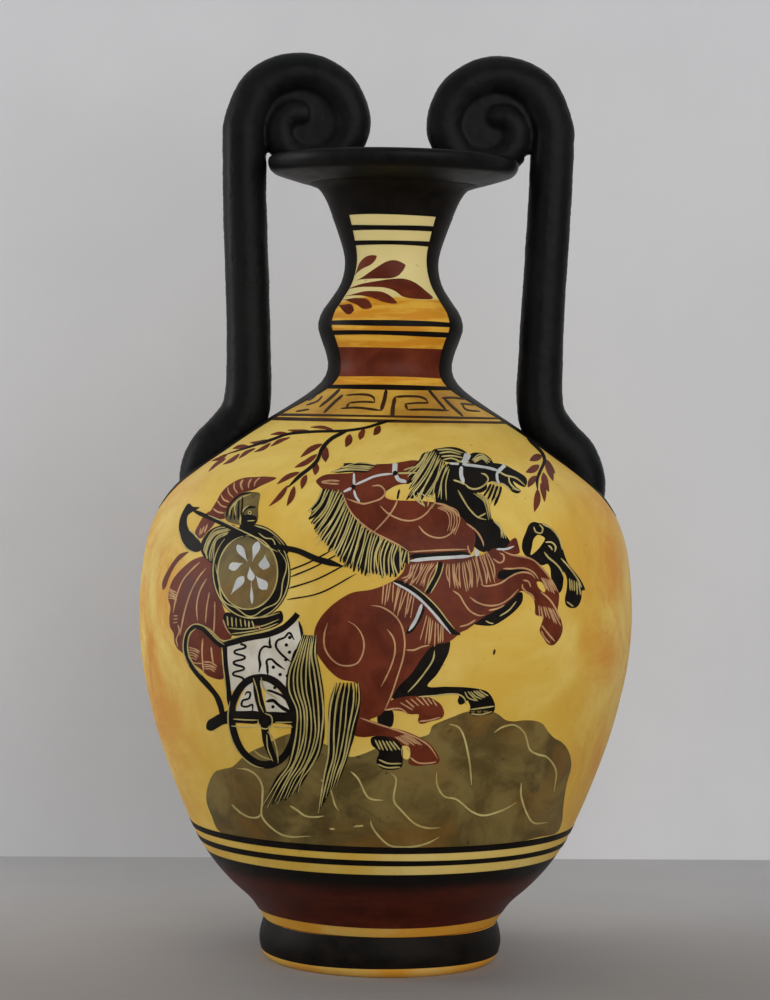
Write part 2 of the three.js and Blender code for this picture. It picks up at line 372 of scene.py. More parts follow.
def turned_sections():
    """The foot, the two halves of the body, the collar, the neck and the mouth."""
    foot_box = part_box("foot")
    foot_top = foot_box[1].z / MM
    outer = OUTER["foot"]
    rest_in = outer[0][0] - 6.2
    ring = catmull([(rest_in - 1.9, 1.8), (rest_in - 0.6, 0.5), (rest_in + 0.5, 0.0)], 0.4)
    under = [(0, 1.8), (rest_in - 9, 1.8)]
    foot = turned("foot_ring", [*under, *ring, *outer, (0, foot_top)], OCHRE)
    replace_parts(foot, "foot")
    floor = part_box("lower_body")[0].z / MM
    inner = INNER["lower_body"][::-1]
    low_r, low_z = inner[-1]
    corner = catmull([(low_r, low_z), *floor_corner(low_r, low_z)], 1)[1:]
    lower = turned("body_lower", [(0, floor), *OUTER["lower_body"], *inner, *corner, (0, low_z - FLOOR_DROP)],
                   OCHRE)
    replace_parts(lower, "lower_body")
    for name, node in (("body_shoulder", "shoulder"), ("neck_collar", "collar"), ("neck_upper", "neck")):
        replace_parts(turned(name, ring_profile(node), OCHRE), node)
    lip = turned("mouth_dish", ring_profile("mouth"), BLACK)
    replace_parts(lip, "mouth")


def linings():
    """What shows down the mouth: black slip at the top of the neck, and bare clay below it."""
    inside = np.concatenate([INNER[node] for node in BODY])
    inside = inside[np.argsort(inside[:, 1], kind="stable")][::2]
    low_r, low_z = inside[0]
    corner = [(0.02, low_z - FLOOR_DROP), *floor_corner(low_r, low_z)[::-1]]
    inside = np.concatenate([corner, inside])
    along = np.gradient(inside, axis=0)
    along /= np.maximum(np.hypot(*along.T), 1e-6)[:, None]
    outward = np.column_stack([along[:, 1], -along[:, 0]])
    for name, keep, material, slot in (
        ("lining_clay", inside[:, 1] <= PAINTED_INSIDE + 1, CLAY, "bare_clay"),
        ("lining_black", (inside[:, 1] >= PAINTED_INSIDE) & (inside[:, 1] < NECK_TOP + 1.2), BLACK,
         "black_slip"),
    ):
        lift = 0.12 if material is CLAY else 0.2
        near = inside[keep] - outward[keep] * lift
        far = inside[keep] + outward[keep] * 0.1
        turned(name, [*far, *near[::-1]], material)


turned_sections()
linings()

# ---------------------------------------------------------------- handles

# Both handles hang a little to the right, as the maker set them. Their lines are (across, up, radius).
HANDLE_SHIFT = 1.5
SCROLL_EYE = (31.9, 275.6)
SCROLL_TURN = ((0, 19.1, 7.2), (45, 18.4, 7.1), (90, 17.6, 6.8), (135, 17.0, 6.6), (180, 16.3, 6.3),
               (225, 14.0, 6.0), (270, 10.6, 5.6), (315, 8.4, 5.6), (360, 6.8, 5.7), (405, 5.4, 5.6),
               (440, 4.2, 5.3))
WEB_RADIUS = 13.2
WEB_THICKNESS = 7.0
HANDLE_LINE = ((63.4, 151.5, 7.0), (63.2, 161.0, 7.4), (60.0, 167.6, 7.9), (54.2, 173.4, 8.2),
               (49.6, 180.2, 8.0), (48.4, 187.2, 7.7), (48.5, 201.0, 7.4), (49.1, 220.0, 7.2),
               (50.2, 243.0, 7.2), (51.0, 268.0, 7.2), (51.0, 276.0, 7.2))
ROOT_JOINT = 187.1
SCROLL_JOINT = 267.6
SHAFT_INNER_EDGE = 43.2
ROOT_REACH = 200.0
BAR_SIDES = 64
CLAY_VOXEL = 0.55


def bar(line, step=0.9, flat_start=False, flat_end=False):
    """Verts and faces of a round bar along (x, z, radius) points, with rounded or flat ends."""
    path = catmull(line, step)
    along = np.gradient(path[:, :2], axis=0)
    along /= np.hypot(*along.T)[:, None]
    sections = [(point[:2], direction, point[2]) for point, direction in zip(path, along)]
    caps = np.radians(np.linspace(15, 88, 6))
    first, last = sections[0], sections[-1]
    if not flat_start:
        start = [(first[0] - first[1] * first[2] * math.sin(a), first[1],
                  first[2] * math.cos(a)) for a in caps]
        sections = start[::-1] + sections
    if not flat_end:
        sections += [(last[0] + last[1] * last[2] * math.sin(a), last[1],
                      last[2] * math.cos(a)) for a in caps]
    verts = []
    for centre, direction, radius in sections:
        for k in range(BAR_SIDES):
            angle = 2 * math.pi * k / BAR_SIDES
            side = radius * math.cos(angle)
            verts.append((centre[0] + direction[1] * side, radius * math.sin(angle),
                          centre[1] - direction[0] * side))
    faces = [tuple(range(BAR_SIDES - 1, -1, -1))]
    for i in range(len(sections) - 1):
        for k in range(BAR_SIDES):
            m = (k + 1) % BAR_SIDES
            low, high = i * BAR_SIDES, (i + 1) * BAR_SIDES
            faces.append((low + k, low + m, high + m, high + k))
    top = (len(sections) - 1) * BAR_SIDES
    faces.append(tuple(range(top, top + BAR_SIDES)))
    return verts, faces


def disc(centre, radius, thickness, sides=64):
    """A round plate in the upright plane, with softened edges."""
    verts = []
    rim = ((-0.5, 0.86), (-0.36, 1.0), (0.36, 1.0), (0.5, 0.86))
    for depth, share in rim:
        for k in range(sides):
            angle = 2 * math.pi * k / sides
            verts.append((centre[0] + radius * share * math.cos(angle), thickness * depth,
                          centre[1] + radius * share * math.sin(angle)))
    faces = [tuple(range(sides))]
    for i in range(len(rim) - 1):
        for k in range(sides):
            m = (k + 1) % sides
            faces.append((i * sides + m, i * sides + k, (i + 1) * sides + k, (i + 1) * sides + m))
    top = (len(rim) - 1) * sides
    faces.append(tuple(range(top + sides - 1, top - 1, -1)))
    return verts, faces


def kneaded(parts, side, seed, settle):
    """Verts and faces of the given bodies, pressed into one piece of slightly uneven clay."""
    verts = []
    faces = []
    for part_verts, part_faces in parts:
        start = len(verts)
        verts += part_verts
        faces += [tuple(start + i for i in face) for face in part_faces]
    mesh = bpy.data.meshes.new("clay_source")
    mesh.from_pydata([tuple(c * MM for c in v) for v in verts], [], faces)
    thing = bpy.data.objects.new("clay_source", mesh)
    bpy.context.scene.collection.objects.link(thing)
    remesh = thing.modifiers.new("clay", "REMESH")
    remesh.mode = "VOXEL"
    remesh.voxel_size = CLAY_VOXEL * MM
    thing.modifiers.new("soft", "SMOOTH").iterations = 3
    bpy.context.view_layer.update()
    done = bpy.data.meshes.new_from_object(thing.evaluated_get(bpy.context.evaluated_depsgraph_get()))
    bpy.data.objects.remove(thing)
    bpy.data.meshes.remove(mesh)
    count = len(done.vertices)
    points = np.empty(count * 3)
    normals = np.empty(count * 3)
    done.vertices.foreach_get("co", points)
    done.vertex_normals.foreach_get("vector", normals)
    points = points.reshape(-1, 3) / MM
    normals = normals.reshape(-1, 3)
    relief = np.array([clay_relief(Vector(p), seed) for p in points])
    points = points + normals * relief[:, None]
    points[:, 0] = side * points[:, 0] + HANDLE_SHIFT
    points = settle(points)
    polygons = [tuple(p.vertices) if side > 0 else tuple(p.vertices)[::-1] for p in done.polygons]
    bpy.data.meshes.remove(done)
    return points, polygons


def clay_relief(p, seed):
    """How far the finished surface stands off the plain shape, in millimetres."""
    shift = Vector((seed * 7.3, seed * 3.1, seed * 5.7))
    swell = 0.18 * noise.noise(p * 0.11 + shift)
    finger = 0.08 * noise.noise(p * 0.42 + shift)
    pits = max(0.0, noise.noise(p * 0.9 + shift) - 0.42)
    seam = 0.3 * math.exp(-(p.y / 0.6) ** 2) * max(0.0, noise.noise(p * 0.9 + shift) - 0.05)
    return swell + finger - 0.5 * pits + seam


def cut(body, height, keep, beyond):
    """The part of a body above (1) or below (-1) a level, with a flat face there.

    Only what lies farther out than beyond is cut off.
    """
    points, polygons = body
    work = bmesh.new()
    made = [work.verts.new(p) for p in points]
    for polygon in polygons:
        work.faces.new([made[i] for i in polygon])
    everything = work.verts[:] + work.edges[:] + work.faces[:]
    bmesh.ops.bisect_plane(work, geom=everything, plane_co=(0, 0, height), plane_no=(0, 0, 1))
    loose = [f for f in work.faces
             if (f.calc_center_median().z - height) * keep < 0 and abs(f.calc_center_median().x) > beyond]
    bmesh.ops.delete(work, geom=loose, context="FACES")
    rim = [edge for edge in work.edges if len(edge.link_faces) == 1]
    bmesh.ops.contextual_create(work, geom=rim)
    bmesh.ops.recalc_face_normals(work, faces=work.faces[:])
    work.verts.index_update()
    result = (np.array([v.co for v in work.verts]), [tuple(v.index for v in f.verts) for f in work.faces])
    work.free()
    return result


def out_of_clay(points, depth=0.25):
    """Points that would sink far into the vessel are lifted back to just under its skin."""
    across = np.hypot(points[:, 0], points[:, 1])
    limit = skin_radius(points[:, 2]) - depth
    low = (across < limit) & (points[:, 2] < ROOT_REACH)
    scale = np.where(low, limit / np.maximum(across, 1e-6), 1)
    points[:, 0] *= scale
    points[:, 1] *= scale
    return points


def on_the_dish(points, depth=0.2):
    """The volute's underside rests on the mouth's dish and wraps the lip."""
    dish = INNER["mouth"]
    dish = dish[np.argsort(dish[:, 0])]
    rim = OUTER["mouth"][:, 0].max()
    across = np.hypot(points[:, 0], points[:, 1])
    floor = np.interp(across, dish[:, 0], dish[:, 1]) - depth
    sunk = (across < rim - 0.6) & (points[:, 2] < floor)
    points[:, 2] = np.where(sunk, floor, points[:, 2])
    return points


def handles():
    """Both handles: a roll for root and shaft, and a coil for the scroll, cut flat at their joints."""
    eye_x, eye_z = SCROLL_EYE
    scroll = [(50.6, 255.0, 7.2), (51.0, SCROLL_JOINT, 7.2), (51.0, eye_z - 4, 7.2)]
    for degrees, distance, radius in SCROLL_TURN:
        angle = math.radians(degrees)
        scroll.append((eye_x + distance * math.cos(angle), eye_z + distance * math.sin(angle), radius))
    for side, word, seed in ((-1, "left", 1), (1, "right", 2)):
        lower = kneaded([bar(HANDLE_LINE)], side, seed, out_of_clay)
        upper = kneaded([bar(scroll), disc(SCROLL_EYE, WEB_RADIUS, WEB_THICKNESS)], side, seed, on_the_dish)
        bodies = {
            "root": cut(lower, ROOT_JOINT, -1, 0),
            "shaft": cut(cut(lower, ROOT_JOINT, 1, 0), SCROLL_JOINT, -1, 0),
            "scroll": cut(upper, SCROLL_JOINT, 1, SHAFT_INNER_EDGE),
        }
        for part, (points, polygons) in bodies.items():
            thing = piece("handle_" + part + "_" + word, points * MM, polygons, BLACK)
            sharpen(thing, 60)
            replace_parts(thing, ("volute_" if part == "scroll" else "handle_" + part + "_") + word)


handles()


# ---------------------------------------------------------------- laying paint on the clay

# The drawing is laid out in millimetres across (u) and up (v) in the upright plane through the vessel's axis,
# as the eye at VIEW_POINT sees it, and carried along the line of sight onto the clay.
VIEW_POINT = np.array((-0.84, -950.0, 180.9))
UNROLL = 80.0
GRID = 2.2
EMBED = -0.1
LIFT_STEP = 0.0015
LIFT_STEPS = 12
FIGURE = 0.05
OVER = 0.085
OVER_TWICE = 0.12
LINE = 0.155
TOUCH = 0.19


def carry(points):
    """(azimuth from the front, height) of the clay that the eye sees behind each (u, v)."""
    uv = np.asarray(points, float)
    target = np.column_stack([uv[:, 0], np.zeros(len(uv)), uv[:, 1]])
    ray = target - VIEW_POINT

    def gap(t):
        at = VIEW_POINT + ray * t[:, None]
        return np.hypot(at[:, 0], at[:, 1]) - skin_radius(at[:, 2])

    # the nearest approach keeps a point that just misses the outline on the outline
    steps = np.linspace(0.90, 1.0, 61)
    gaps = np.array([gap(np.full(len(uv), t)) for t in steps])
    inside = gaps <= 0
    first = np.where(inside.any(axis=0), inside.argmax(axis=0), gaps.argmin(axis=0))
    high = steps[first]
    low = steps[np.maximum(first - 1, 0)]
    for _ in range(22):
        middle = (low + high) / 2
        outside = gap(middle) > 0
        low = np.where(outside, middle, low)
        high = np.where(outside, high, middle)
    at = VIEW_POINT + ray * high[:, None]
    return np.column_stack([np.arctan2(at[:, 0], -at[:, 1]), at[:, 2]])


def smooth_noise(count, spread, seed):
    """A gentle random wobble of about the given size along a run of points."""
    rng = np.random.default_rng(seed)
    knots = rng.normal(0, spread, max(4, count // 6 + 3))
    return np.interp(np.linspace(0, len(knots) - 1, count), np.arange(len(knots)), knots)


class Coat:
    """All the strokes of one paint, as thin closed bodies that rise from inside the clay."""

    def __init__(self):
        self.verts = []
        self.faces = []
        self.count = 0
        self.turn = 0.0

    def shell(self, spots, faces, lift):
        """A body over (azimuth, height) spots. The faces run anticlockwise as seen from outside."""
        self.count += 1
        lift += (self.count % LIFT_STEPS) * LIFT_STEP
        spots = np.asarray(spots)
        start = len(self.verts)
        outward, upward = skin_normal(spots[:, 1])
        radius = skin_radius(spots[:, 1])
        angle = spots[:, 0] + self.turn
        for depth in (lift, EMBED):
            r = radius + outward * depth
            z = spots[:, 1] + upward * depth
            self.verts.extend(zip(r * np.sin(angle) * MM, -r * np.cos(angle) * MM, z * MM))
        edges = {}
        for face in faces:
            for i, j in zip(face, tuple(face[1:]) + (face[0],)):
                edges[(i, j)] = True
        below = start + len(spots)
        for face in faces:
            self.faces.append([start + i for i in face])
            self.faces.append([below + i for i in reversed(face)])
        for i, j in edges:
            if (j, i) not in edges:
                self.faces.append([start + j, start + i, below + i, below + j])

    def fill(self, flat, lift):
        """A filled outline in unrolled (azimuth * UNROLL, height)."""
        count = len(flat)
        low, high = flat.min(axis=0), flat.max(axis=0)
        inner = [(x, y) for x in np.arange(low[0] + GRID / 2, high[0], GRID)
                 for y in np.arange(low[1] + GRID / 2, high[1], GRID)]
        inner = [p for p in inner if is_inside(p, flat) and np.hypot(*(flat - p).T).min() > GRID * 0.4]
        every = [Vector(p) for p in flat] + [Vector(p) for p in inner]
        border = [(i, (i + 1) % count) for i in range(count)]
        verts, _, faces, _, _, _ = delaunay_2d_cdt(every, border, [], 1, 1e-5)
        spots = np.array([(v.x / UNROLL, v.y) for v in verts])
        faces = [tuple(f) for f in faces if len(f) == 3]
        flat_area = [cross(verts[f[1]] - verts[f[0]], verts[f[2]] - verts[f[0]]) for f in faces]
        faces = [f if a > 0 else f[::-1] for f, a in zip(faces, flat_area) if abs(a) > 1e-7]
        self.shell(spots, faces, lift)

    def area(self, outline, lift, soft=True):
        """A painted shape inside a smooth closed outline, or a straight-edged one."""
        outline = catmull(outline, 0.8, closed=True) if soft else straight(outline, 0.8)
        spots = carry(outline)
        flat = np.column_stack([spots[:, 0] * UNROLL, spots[:, 1]])
        self.fill(flat, lift)

    def stroke(self, points, width, lift=LINE, shape="line", side=0.0):
        """A brush stroke along a smooth line, tapered at its ends, and moved sideways where side is given."""
        line = catmull(points, 0.7)
        count = len(line)
        along = np.gradient(line, axis=0)
        along /= np.maximum(np.hypot(*along.T), 1e-9)[:, None]
        across = np.column_stack([-along[:, 1], along[:, 0]])
        t = np.linspace(0, 1, count)
        half = width / 2 * brush_shape(shape, t) * (1 + smooth_noise(count, 0.07, self.count + count))
        half = np.maximum(half, 0.07)
        line = line + across * side
        columns = 2 if width < 0.8 else 3 if width < 1.7 else 5
        shares = np.linspace(1, -1, columns)
        spots = np.concatenate([carry(line + across * (share * half)[:, None]) for share in shares])
        faces = []
        for column in range(columns - 1):
            low, high = column * count, (column + 1) * count
            faces += [(low + i, high + i, high + i + 1, low + i + 1) for i in range(count - 1)]
        self.shell(spots, faces, lift)

    def comb(self, rows, strands, width, lift=LINE, jitter=0.15, shape="line"):
        """Strands of hair: each passes every row at the same share of the row's length."""
        rng = np.random.default_rng(self.count + strands)
        rows = [along_line(row, np.linspace(0, 1, strands)) for row in rows]
        for k in range(strands):
            points = [row[k] + rng.normal(0, jitter, 2) * (0.4 if n == 0 else 1)
                      for n, row in enumerate(rows)]
            points[-1] = points[-1] + (points[-1] - points[-2]) * rng.uniform(-0.12, 0.12)
            self.stroke(points, width * rng.uniform(0.8, 1.15), lift, shape)

    def dot(self, centre, radius, lift=LINE):
        turn = np.linspace(0, 2 * math.pi, 8, endpoint=False)
        self.area(np.array(centre) + radius * np.column_stack([np.cos(turn), np.sin(turn)]), lift)

    def oval(self, centre, halves, tilt, lift):
        self.area(ellipse(centre, halves, tilt), lift)

    def band(self, low, high, lift, wobble=0.1, seed=1):
        """A ring of paint between two heights, drawn by hand on the wheel."""
        sides = TURN_SIDES
        turn = np.linspace(0, 2 * math.pi, sides, endpoint=False)
        rng = np.random.default_rng(seed)
        edges = []
        for height in (low, high):
            phase = rng.uniform(0, 6.3, 3)
            waves = sum(np.sin((n + 2) * turn + phase[n]) / (n + 2) for n in range(3))
            edges.append(height + wobble * waves)
        rows = max(2, int((high - low) / OUTLINE_STEP) + 2)
        spots = []
        for share in np.linspace(0, 1, rows):
            heights = edges[0] * (1 - share) + edges[1] * share
            spots.extend(zip(turn, heights))
        faces = []
        for i in range(rows - 1):
            for k in range(sides):
                m = (k + 1) % sides
                faces.append((i * sides + k, i * sides + m, (i + 1) * sides + m, (i + 1) * sides + k))
        self.shell(spots, faces, lift)

    def build(self, name, material, slot):
        thing = piece(name, self.verts, self.faces, material)
        sharpen(thing, 35)
        return thing


def cross(a, b):
    """Positive where b lies anticlockwise of a."""
    return a[0] * b[1] - a[1] * b[0]


def is_inside(point, outline):
    """Whether a point lies inside a closed outline."""
    x, y = point
    a, b = outline, np.roll(outline, -1, axis=0)
    spans = (a[:, 1] > y) != (b[:, 1] > y)
    with np.errstate(divide="ignore", invalid="ignore"):
        meets = a[:, 0] + (y - a[:, 1]) * (b[:, 0] - a[:, 0]) / (b[:, 1] - a[:, 1])
    return bool(np.count_nonzero(spans & (x < meets)) % 2)


def along_line(points, shares):
    """Points at the given shares of a smooth line's length."""
    line = catmull(points, 0.5)
    lengths = np.concatenate([[0], np.cumsum(np.hypot(*np.diff(line, axis=0).T))])
    return np.column_stack([np.interp(shares * lengths[-1], lengths, line[:, k]) for k in (0, 1)])


def straight(corners, step):
    """Points about step apart round a straight-edged outline."""
    corners = np.array(corners, float)
    result = []
    for a, b in zip(corners, np.roll(corners, -1, axis=0)):
        count = max(1, int(np.hypot(*(b - a)) / step))
        result.extend(a + (b - a) * t for t in np.linspace(0, 1, count, endpoint=False))
    return np.array(result)


def ellipse(centre, halves, tilt=0.0, count=16, first=0.0, last=360.0):
    """Points round an ellipse, or along part of it between two angles in degrees."""
    turn = np.radians(np.linspace(first, last, count, endpoint=last - first < 360))
    x, y = halves[0] * np.cos(turn), halves[1] * np.sin(turn)
    c, s = math.cos(math.radians(tilt)), math.sin(math.radians(tilt))
    return np.column_stack([centre[0] + c * x - s * y, centre[1] + s * x + c * y])


def brush_shape(shape, t):
    """The share of full width along a stroke."""
    if shape == "petal":
        return np.sin(np.pi * np.clip(t, 0, 1) ** 1.9) ** 0.75
    if shape == "leaf":
        return np.sin(np.pi * np.clip(t, 0, 1) ** 0.85) ** 0.8
    if shape == "even":
        return np.ones_like(t)
    ends = np.minimum(t / 0.10, (1 - t) / 0.16)
    return np.clip(ends, 0.12, 1) ** 0.6


# ---------------------------------------------------------------- bands and neck panels

def bands(black, maroon, foot_maroon, key):
    """Rings of paint, from the foot up."""
    for seed, (low, high) in enumerate(((39.7, 41.5), (44.0, 46.1), (188.9, 190.2), (206.5, 207.9),
                                        (209.6, 211.2), (236.1, 237.6), (240.9, 242.5))):
        black.band(low, high, LINE, 0.2, seed + 3)
    for seed, (low, high) in enumerate(((178.3, 179.1), (179.8, 180.4))):
        key.band(low, high, LINE, 0.15, seed + 31)
    foot_maroon.band(16.7, 36.6, FIGURE, 0.2, 21)
    maroon.band(193.0, 202.5, FIGURE, 0.16, 22)
    black.band(245.7, 256.6, OVER, 0.15, 24)
    black.band(3.0, 13.0, FIGURE, 0.3, 25)


SIDE_PANEL = ((246.2, 44.0), (240, 43.5), (233, 42.4), (222, 38.5), (210.7, 36.0), (204, 38.0), (198, 37.5),
              (193, 38.0), (189, 35.0), (185, 27.0), (181, 20.0), (175, 17.5), (168, 15.5), (160, 12.5),
              (153.5, 9.5), (149.5, 6.0), (148.2, 0.0))


def side_panels(black):
    """Black down both sides of the neck, narrowing over the shoulder and round the handle roots."""
    for side in (1, -1):
        right = [(width, z) for z, width in SIDE_PANEL]
        left = [(-width, z) for z, width in SIDE_PANEL[:-1]]
        edge = catmull(right + left[::-1], 1.2)
        middle = 90 * side
        flat = np.array([(math.radians(middle + x) * UNROLL, z) for x, z in edge])
        black.fill(straight(flat, 2.0), TOUCH)


def meander(key):
    """The key pattern on the shoulder: two hooks, with slanting strokes that fall away to the sides."""
    strokes = (
        (((-16.4, 188.9), (-19.7, 185.7), (-23.2, 182.8)), 0.8),
        (((-15.4, 187.0), (-18.2, 184.5), (-21.7, 180.9)), 0.8),
        (((-22.2, 186.5), (-23.8, 184.8), (-27.5, 183.4)), 0.5),
        (((-16.1, 182.5), (-10.3, 182.8), (-2.7, 182.0)), 0.6),
        (((-2.7, 182.0), (-1.6, 185.6), (-1.0, 189.2)), 1.2),
        (((-14.3, 186.8), (-11.0, 187.2), (-6.6, 187.0), (-5.2, 186.2), (-4.8, 184.8)), 0.6),
        (((-4.8, 184.7), (-9.0, 184.8), (-13.2, 184.4)), 0.55),
        (((-13.2, 184.4), (-14.3, 182.7)), 0.6),
        (((1.1, 180.0), (1.3, 183.2), (1.9, 186.5)), 1.3),
        (((1.9, 186.6), (6.0, 186.9), (10.4, 186.7), (12.2, 185.9), (12.9, 184.9)), 0.65),
        (((13.1, 184.8), (9.0, 184.7), (5.2, 184.3)), 0.55),
        (((5.3, 184.3), (6.1, 182.4)), 0.8),
        (((6.1, 182.4), (12.9, 182.6), (19.8, 182.4)), 0.6),
        (((12.8, 189.4), (16.2, 185.5), (18.9, 182.6)), 0.8),
        (((17.4, 186.5), (21.0, 186.7), (25.6, 186.3)), 0.6),
        (((18.2, 186.3), (21.2, 183.5), (24.6, 180.6)), 0.8),
        (((23.5, 184.8), (28.5, 184.4)), 0.5),
        (((24.1, 184.7), (25.4, 182.9), (30.2, 182.3)), 0.5),
        (((-24.5, 186.4), (-27.0, 184.9)), 0.5),
        (((-26.5, 182.0), (-31.0, 181.2)), 0.5),
    )
    for points, width in strokes:
        key.stroke(points, width)
    for side in (-1, 1):
        for step in range(3):
            start = side * (31.0 + 5.5 * step)
            slant = ((start, 186.0 - step),
                     (start + side * 2.0, 183.8 - step),
                     (start + side * 4.5, 182.2 - step))
            key.stroke(slant, 0.6)


def palmette(maroon):
    """Six leaves that fan up from the left of the neck."""
    leaves = (
        (((-12.1, 226.9), (-9.6, 230.3), (-5.0, 233.3)), 3.3),
        (((-11.5, 225.1), (-4.5, 227.6), (4.6, 230.4)), 5.6),
        (((-15.1, 219.8), (-9.0, 220.7), (-4.0, 220.1), (2.0, 217.8)), 2.9),
        (((-15.9, 218.6), (-11.0, 218.1), (-6.2, 216.3)), 3.2),
        (((-17.8, 217.0), (-15.0, 215.8), (-12.2, 215.1)), 3.3),
    )
    for points, width in leaves:
        maroon.stroke(points, width, FIGURE, "petal")
    maroon.area(((-13.9, 222.3), (-10.2, 223.8), (-4.4, 225.0), (0.6, 225.8), (4.7, 225.8), (8.1, 224.5),
                 (11.4, 222.0), (13.9, 219.6), (8.1, 219.3), (3.9, 220.0), (1.2, 221.8), (-2.0, 222.8),
                 (-6.0, 223.0), (-10.2, 222.9)), FIGURE)


def branches(maroon, black):
    """Leafy sprays that hang from the key pattern."""
    stems = (
        (((4.0, 178.9), (-0.3, 178.5), (-3.0, 177.7), (-7.4, 176.3), (-14.4, 175.1), (-24.9, 174.6),
          (-33.6, 173.6), (-38.8, 171.7), (-45.8, 169.3), (-53.4, 166.7)), 0.75),
        (((-13.4, 175.2), (-18.9, 172.4), (-22.0, 169.0), (-23.6, 165.0), (-26.1, 162.4), (-29.2, 159.9),
          (-33.1, 156.0)), 1.1),
        (((46.0, 173.6), (49.0, 171.0), (51.2, 168.6), (51.9, 166.4), (50.4, 162.4), (49.6, 160.0),
          (49.8, 156.4)), 0.95),
    )
    for points, width in stems:
        black.stroke(points, width)
    leaves = (
        ((-18.5, 175.4), (-26.0, 176.1), 1.0), ((-26.6, 175.0), (-33.5, 175.0), 1.1),
        ((-33.0, 173.7), (-39.2, 173.4), 1.0), ((-39.1, 171.5), (-46.0, 170.6), 1.4),
        ((-46.4, 169.4), (-51.7, 168.5), 1.3), ((-53.4, 166.7), (-58.6, 164.3), 1.1),
        ((-32.7, 172.6), (-39.1, 169.5), 1.2), ((-39.1, 170.6), (-44.5, 167.5), 1.2),
        ((-44.2, 168.8), (-49.7, 165.3), 1.2), ((-49.4, 166.8), (-54.8, 163.2), 1.2),
        ((-53.9, 165.3), (-59.6, 160.8), 1.1),
        ((-12.8, 174.0), (-14.2, 169.7), 2.3), ((-8.0, 175.8), (-9.6, 172.2), 2.2),
        ((-3.0, 177.0), (-5.0, 173.8), 2.1),
        ((-22.0, 170.6), (-29.1, 166.1), 1.8), ((-23.7, 167.1), (-31.0, 162.6), 1.8),
        ((-29.4, 161.1), (-36.8, 157.0), 1.6), ((-33.2, 156.6), (-39.3, 149.6), 1.6),
        ((-20.6, 169.6), (-20.8, 164.6), 2.4), ((-24.1, 164.4), (-24.3, 160.2), 2.1),
        ((-27.0, 160.2), (-28.6, 155.5), 2.0), ((-31.0, 156.4), (-33.4, 149.8), 1.9),
        ((51.1, 167.8), (47.0, 166.3), 2.3), ((50.2, 164.8), (45.8, 162.4), 2.3),
        ((49.3, 161.2), (46.6, 157.4), 2.3), ((49.8, 156.8), (48.9, 149.3), 2.2),
        ((52.1, 166.8), (55.5, 162.2), 2.0), ((52.3, 165.2), (54.9, 159.7), 2.0),
        ((51.6, 162.4), (53.6, 156.0), 2.1), ((50.9, 159.0), (52.2, 152.7), 2.0),
    )
    for n, (root, tip, width) in enumerate(leaves):
        root, tip = np.array(root), np.array(tip)
        bow = np.array((root[1] - tip[1], tip[0] - root[0])) * 0.05 * (1 if n % 2 else -1)
        maroon.stroke((root, (root + tip) / 2 + bow, tip), width, OVER, "leaf")


# ---------------------------------------------------------------- the chariot scene

def rocks(olive, cream):
    """The olive rocks under the horses, with their light lines."""
    olive.area(((-58.2, 56.0), (-56.0, 60.6), (-53.6, 61.6), (-50.4, 62.4), (-48.3, 64.2), (-46.6, 66.0),
                (-43.0, 68.2), (-39.3, 69.9), (-34.8, 72.6), (-30.0, 74.0), (-24.0, 72.6), (-19.0, 70.4),
                (-14.0, 67.4), (-10.5, 66.5), (-6.5, 67.6), (-1.5, 69.8), (6.3, 71.6), (12.0, 73.4),
                (15.2, 74.6), (16.2, 77.2), (19.3, 78.9), (23.4, 80.6), (27.5, 82.2), (35.5, 82.6),
                (38.4, 81.4), (40.5, 79.8), (43.0, 79.3), (46.6, 79.7), (50.5, 79.6), (53.0, 78.6),
                (54.8, 76.2), (56.9, 74.0), (59.5, 72.6), (61.6, 70.0), (62.7, 66.5), (62.6, 63.4),
                (61.6, 59.6), (60.8, 55.0), (60.3, 50.0), (60.0, 46.0), (58.4, 42.4), (52.0, 40.6),
                (45.0, 38.9), (30.0, 36.7), (10.0, 35.4), (-10.0, 35.4), (-30.0, 36.6), (-45.0, 38.6),
                (-54.2, 40.9), (-56.8, 46.0), (-58.6, 51.0)), FIGURE)
    cracks = (
        ((-48.7, 62.0), (-45.0, 61.6), (-41.9, 59.6), (-40.1, 56.3), (-40.0, 51.3), (-39.9, 45.9),
         (-34.2, 40.5), (-30.1, 39.4), (-23.8, 39.8)),
        ((-50.2, 49.9), (-46.9, 47.0), (-43.5, 45.6), (-41.0, 46.0), (-40.1, 47.9)),
        ((-30.7, 49.8), (-28.1, 48.2), (-25.6, 46.5), (-21.8, 46.2), (-19.3, 46.6)),
        ((-20.6, 58.7), (-17.8, 56.3), (-15.6, 50.1), (-14.4, 48.4)),
        ((-10.6, 61.6), (-8.3, 59.4), (-4.9, 53.2), (-3.2, 52.4), (0.2, 52.2)),
        ((2.9, 61.2), (4.4, 59.6), (3.9, 52.1), (6.5, 48.8), (11.4, 44.3), (15.7, 43.1), (19.5, 43.4)),
        ((-3.9, 45.5), (-3.0, 42.8), (2.5, 37.2), (6.7, 36.6), (11.7, 37.0), (15.8, 38.3), (19.1, 40.1)),
        ((21.8, 78.0), (24.7, 77.2), (26.4, 74.9), (28.7, 66.2), (29.7, 57.8)),
        ((17.9, 61.8), (18.2, 57.6), (20.6, 53.9), (24.7, 52.9), (29.8, 49.0), (33.5, 47.7), (39.8, 49.4),
         (44.8, 52.2)),
        ((36.9, 75.5), (39.3, 77.2), (43.5, 78.1), (46.8, 75.7), (49.0, 69.8), (51.6, 68.4), (54.5, 67.6),
         (57.6, 63.4), (57.2, 56.2)),
        ((46.2, 58.9), (46.2, 54.7), (48.5, 48.1), (50.6, 45.5), (55.3, 45.7)),
        ((-17.5, 42.4), (-15.6, 42.2)), ((-9.5, 43.2), (-6.0, 43.6)),
    )
    for line in cracks:
        cream.stroke(line, 0.6, OVER)


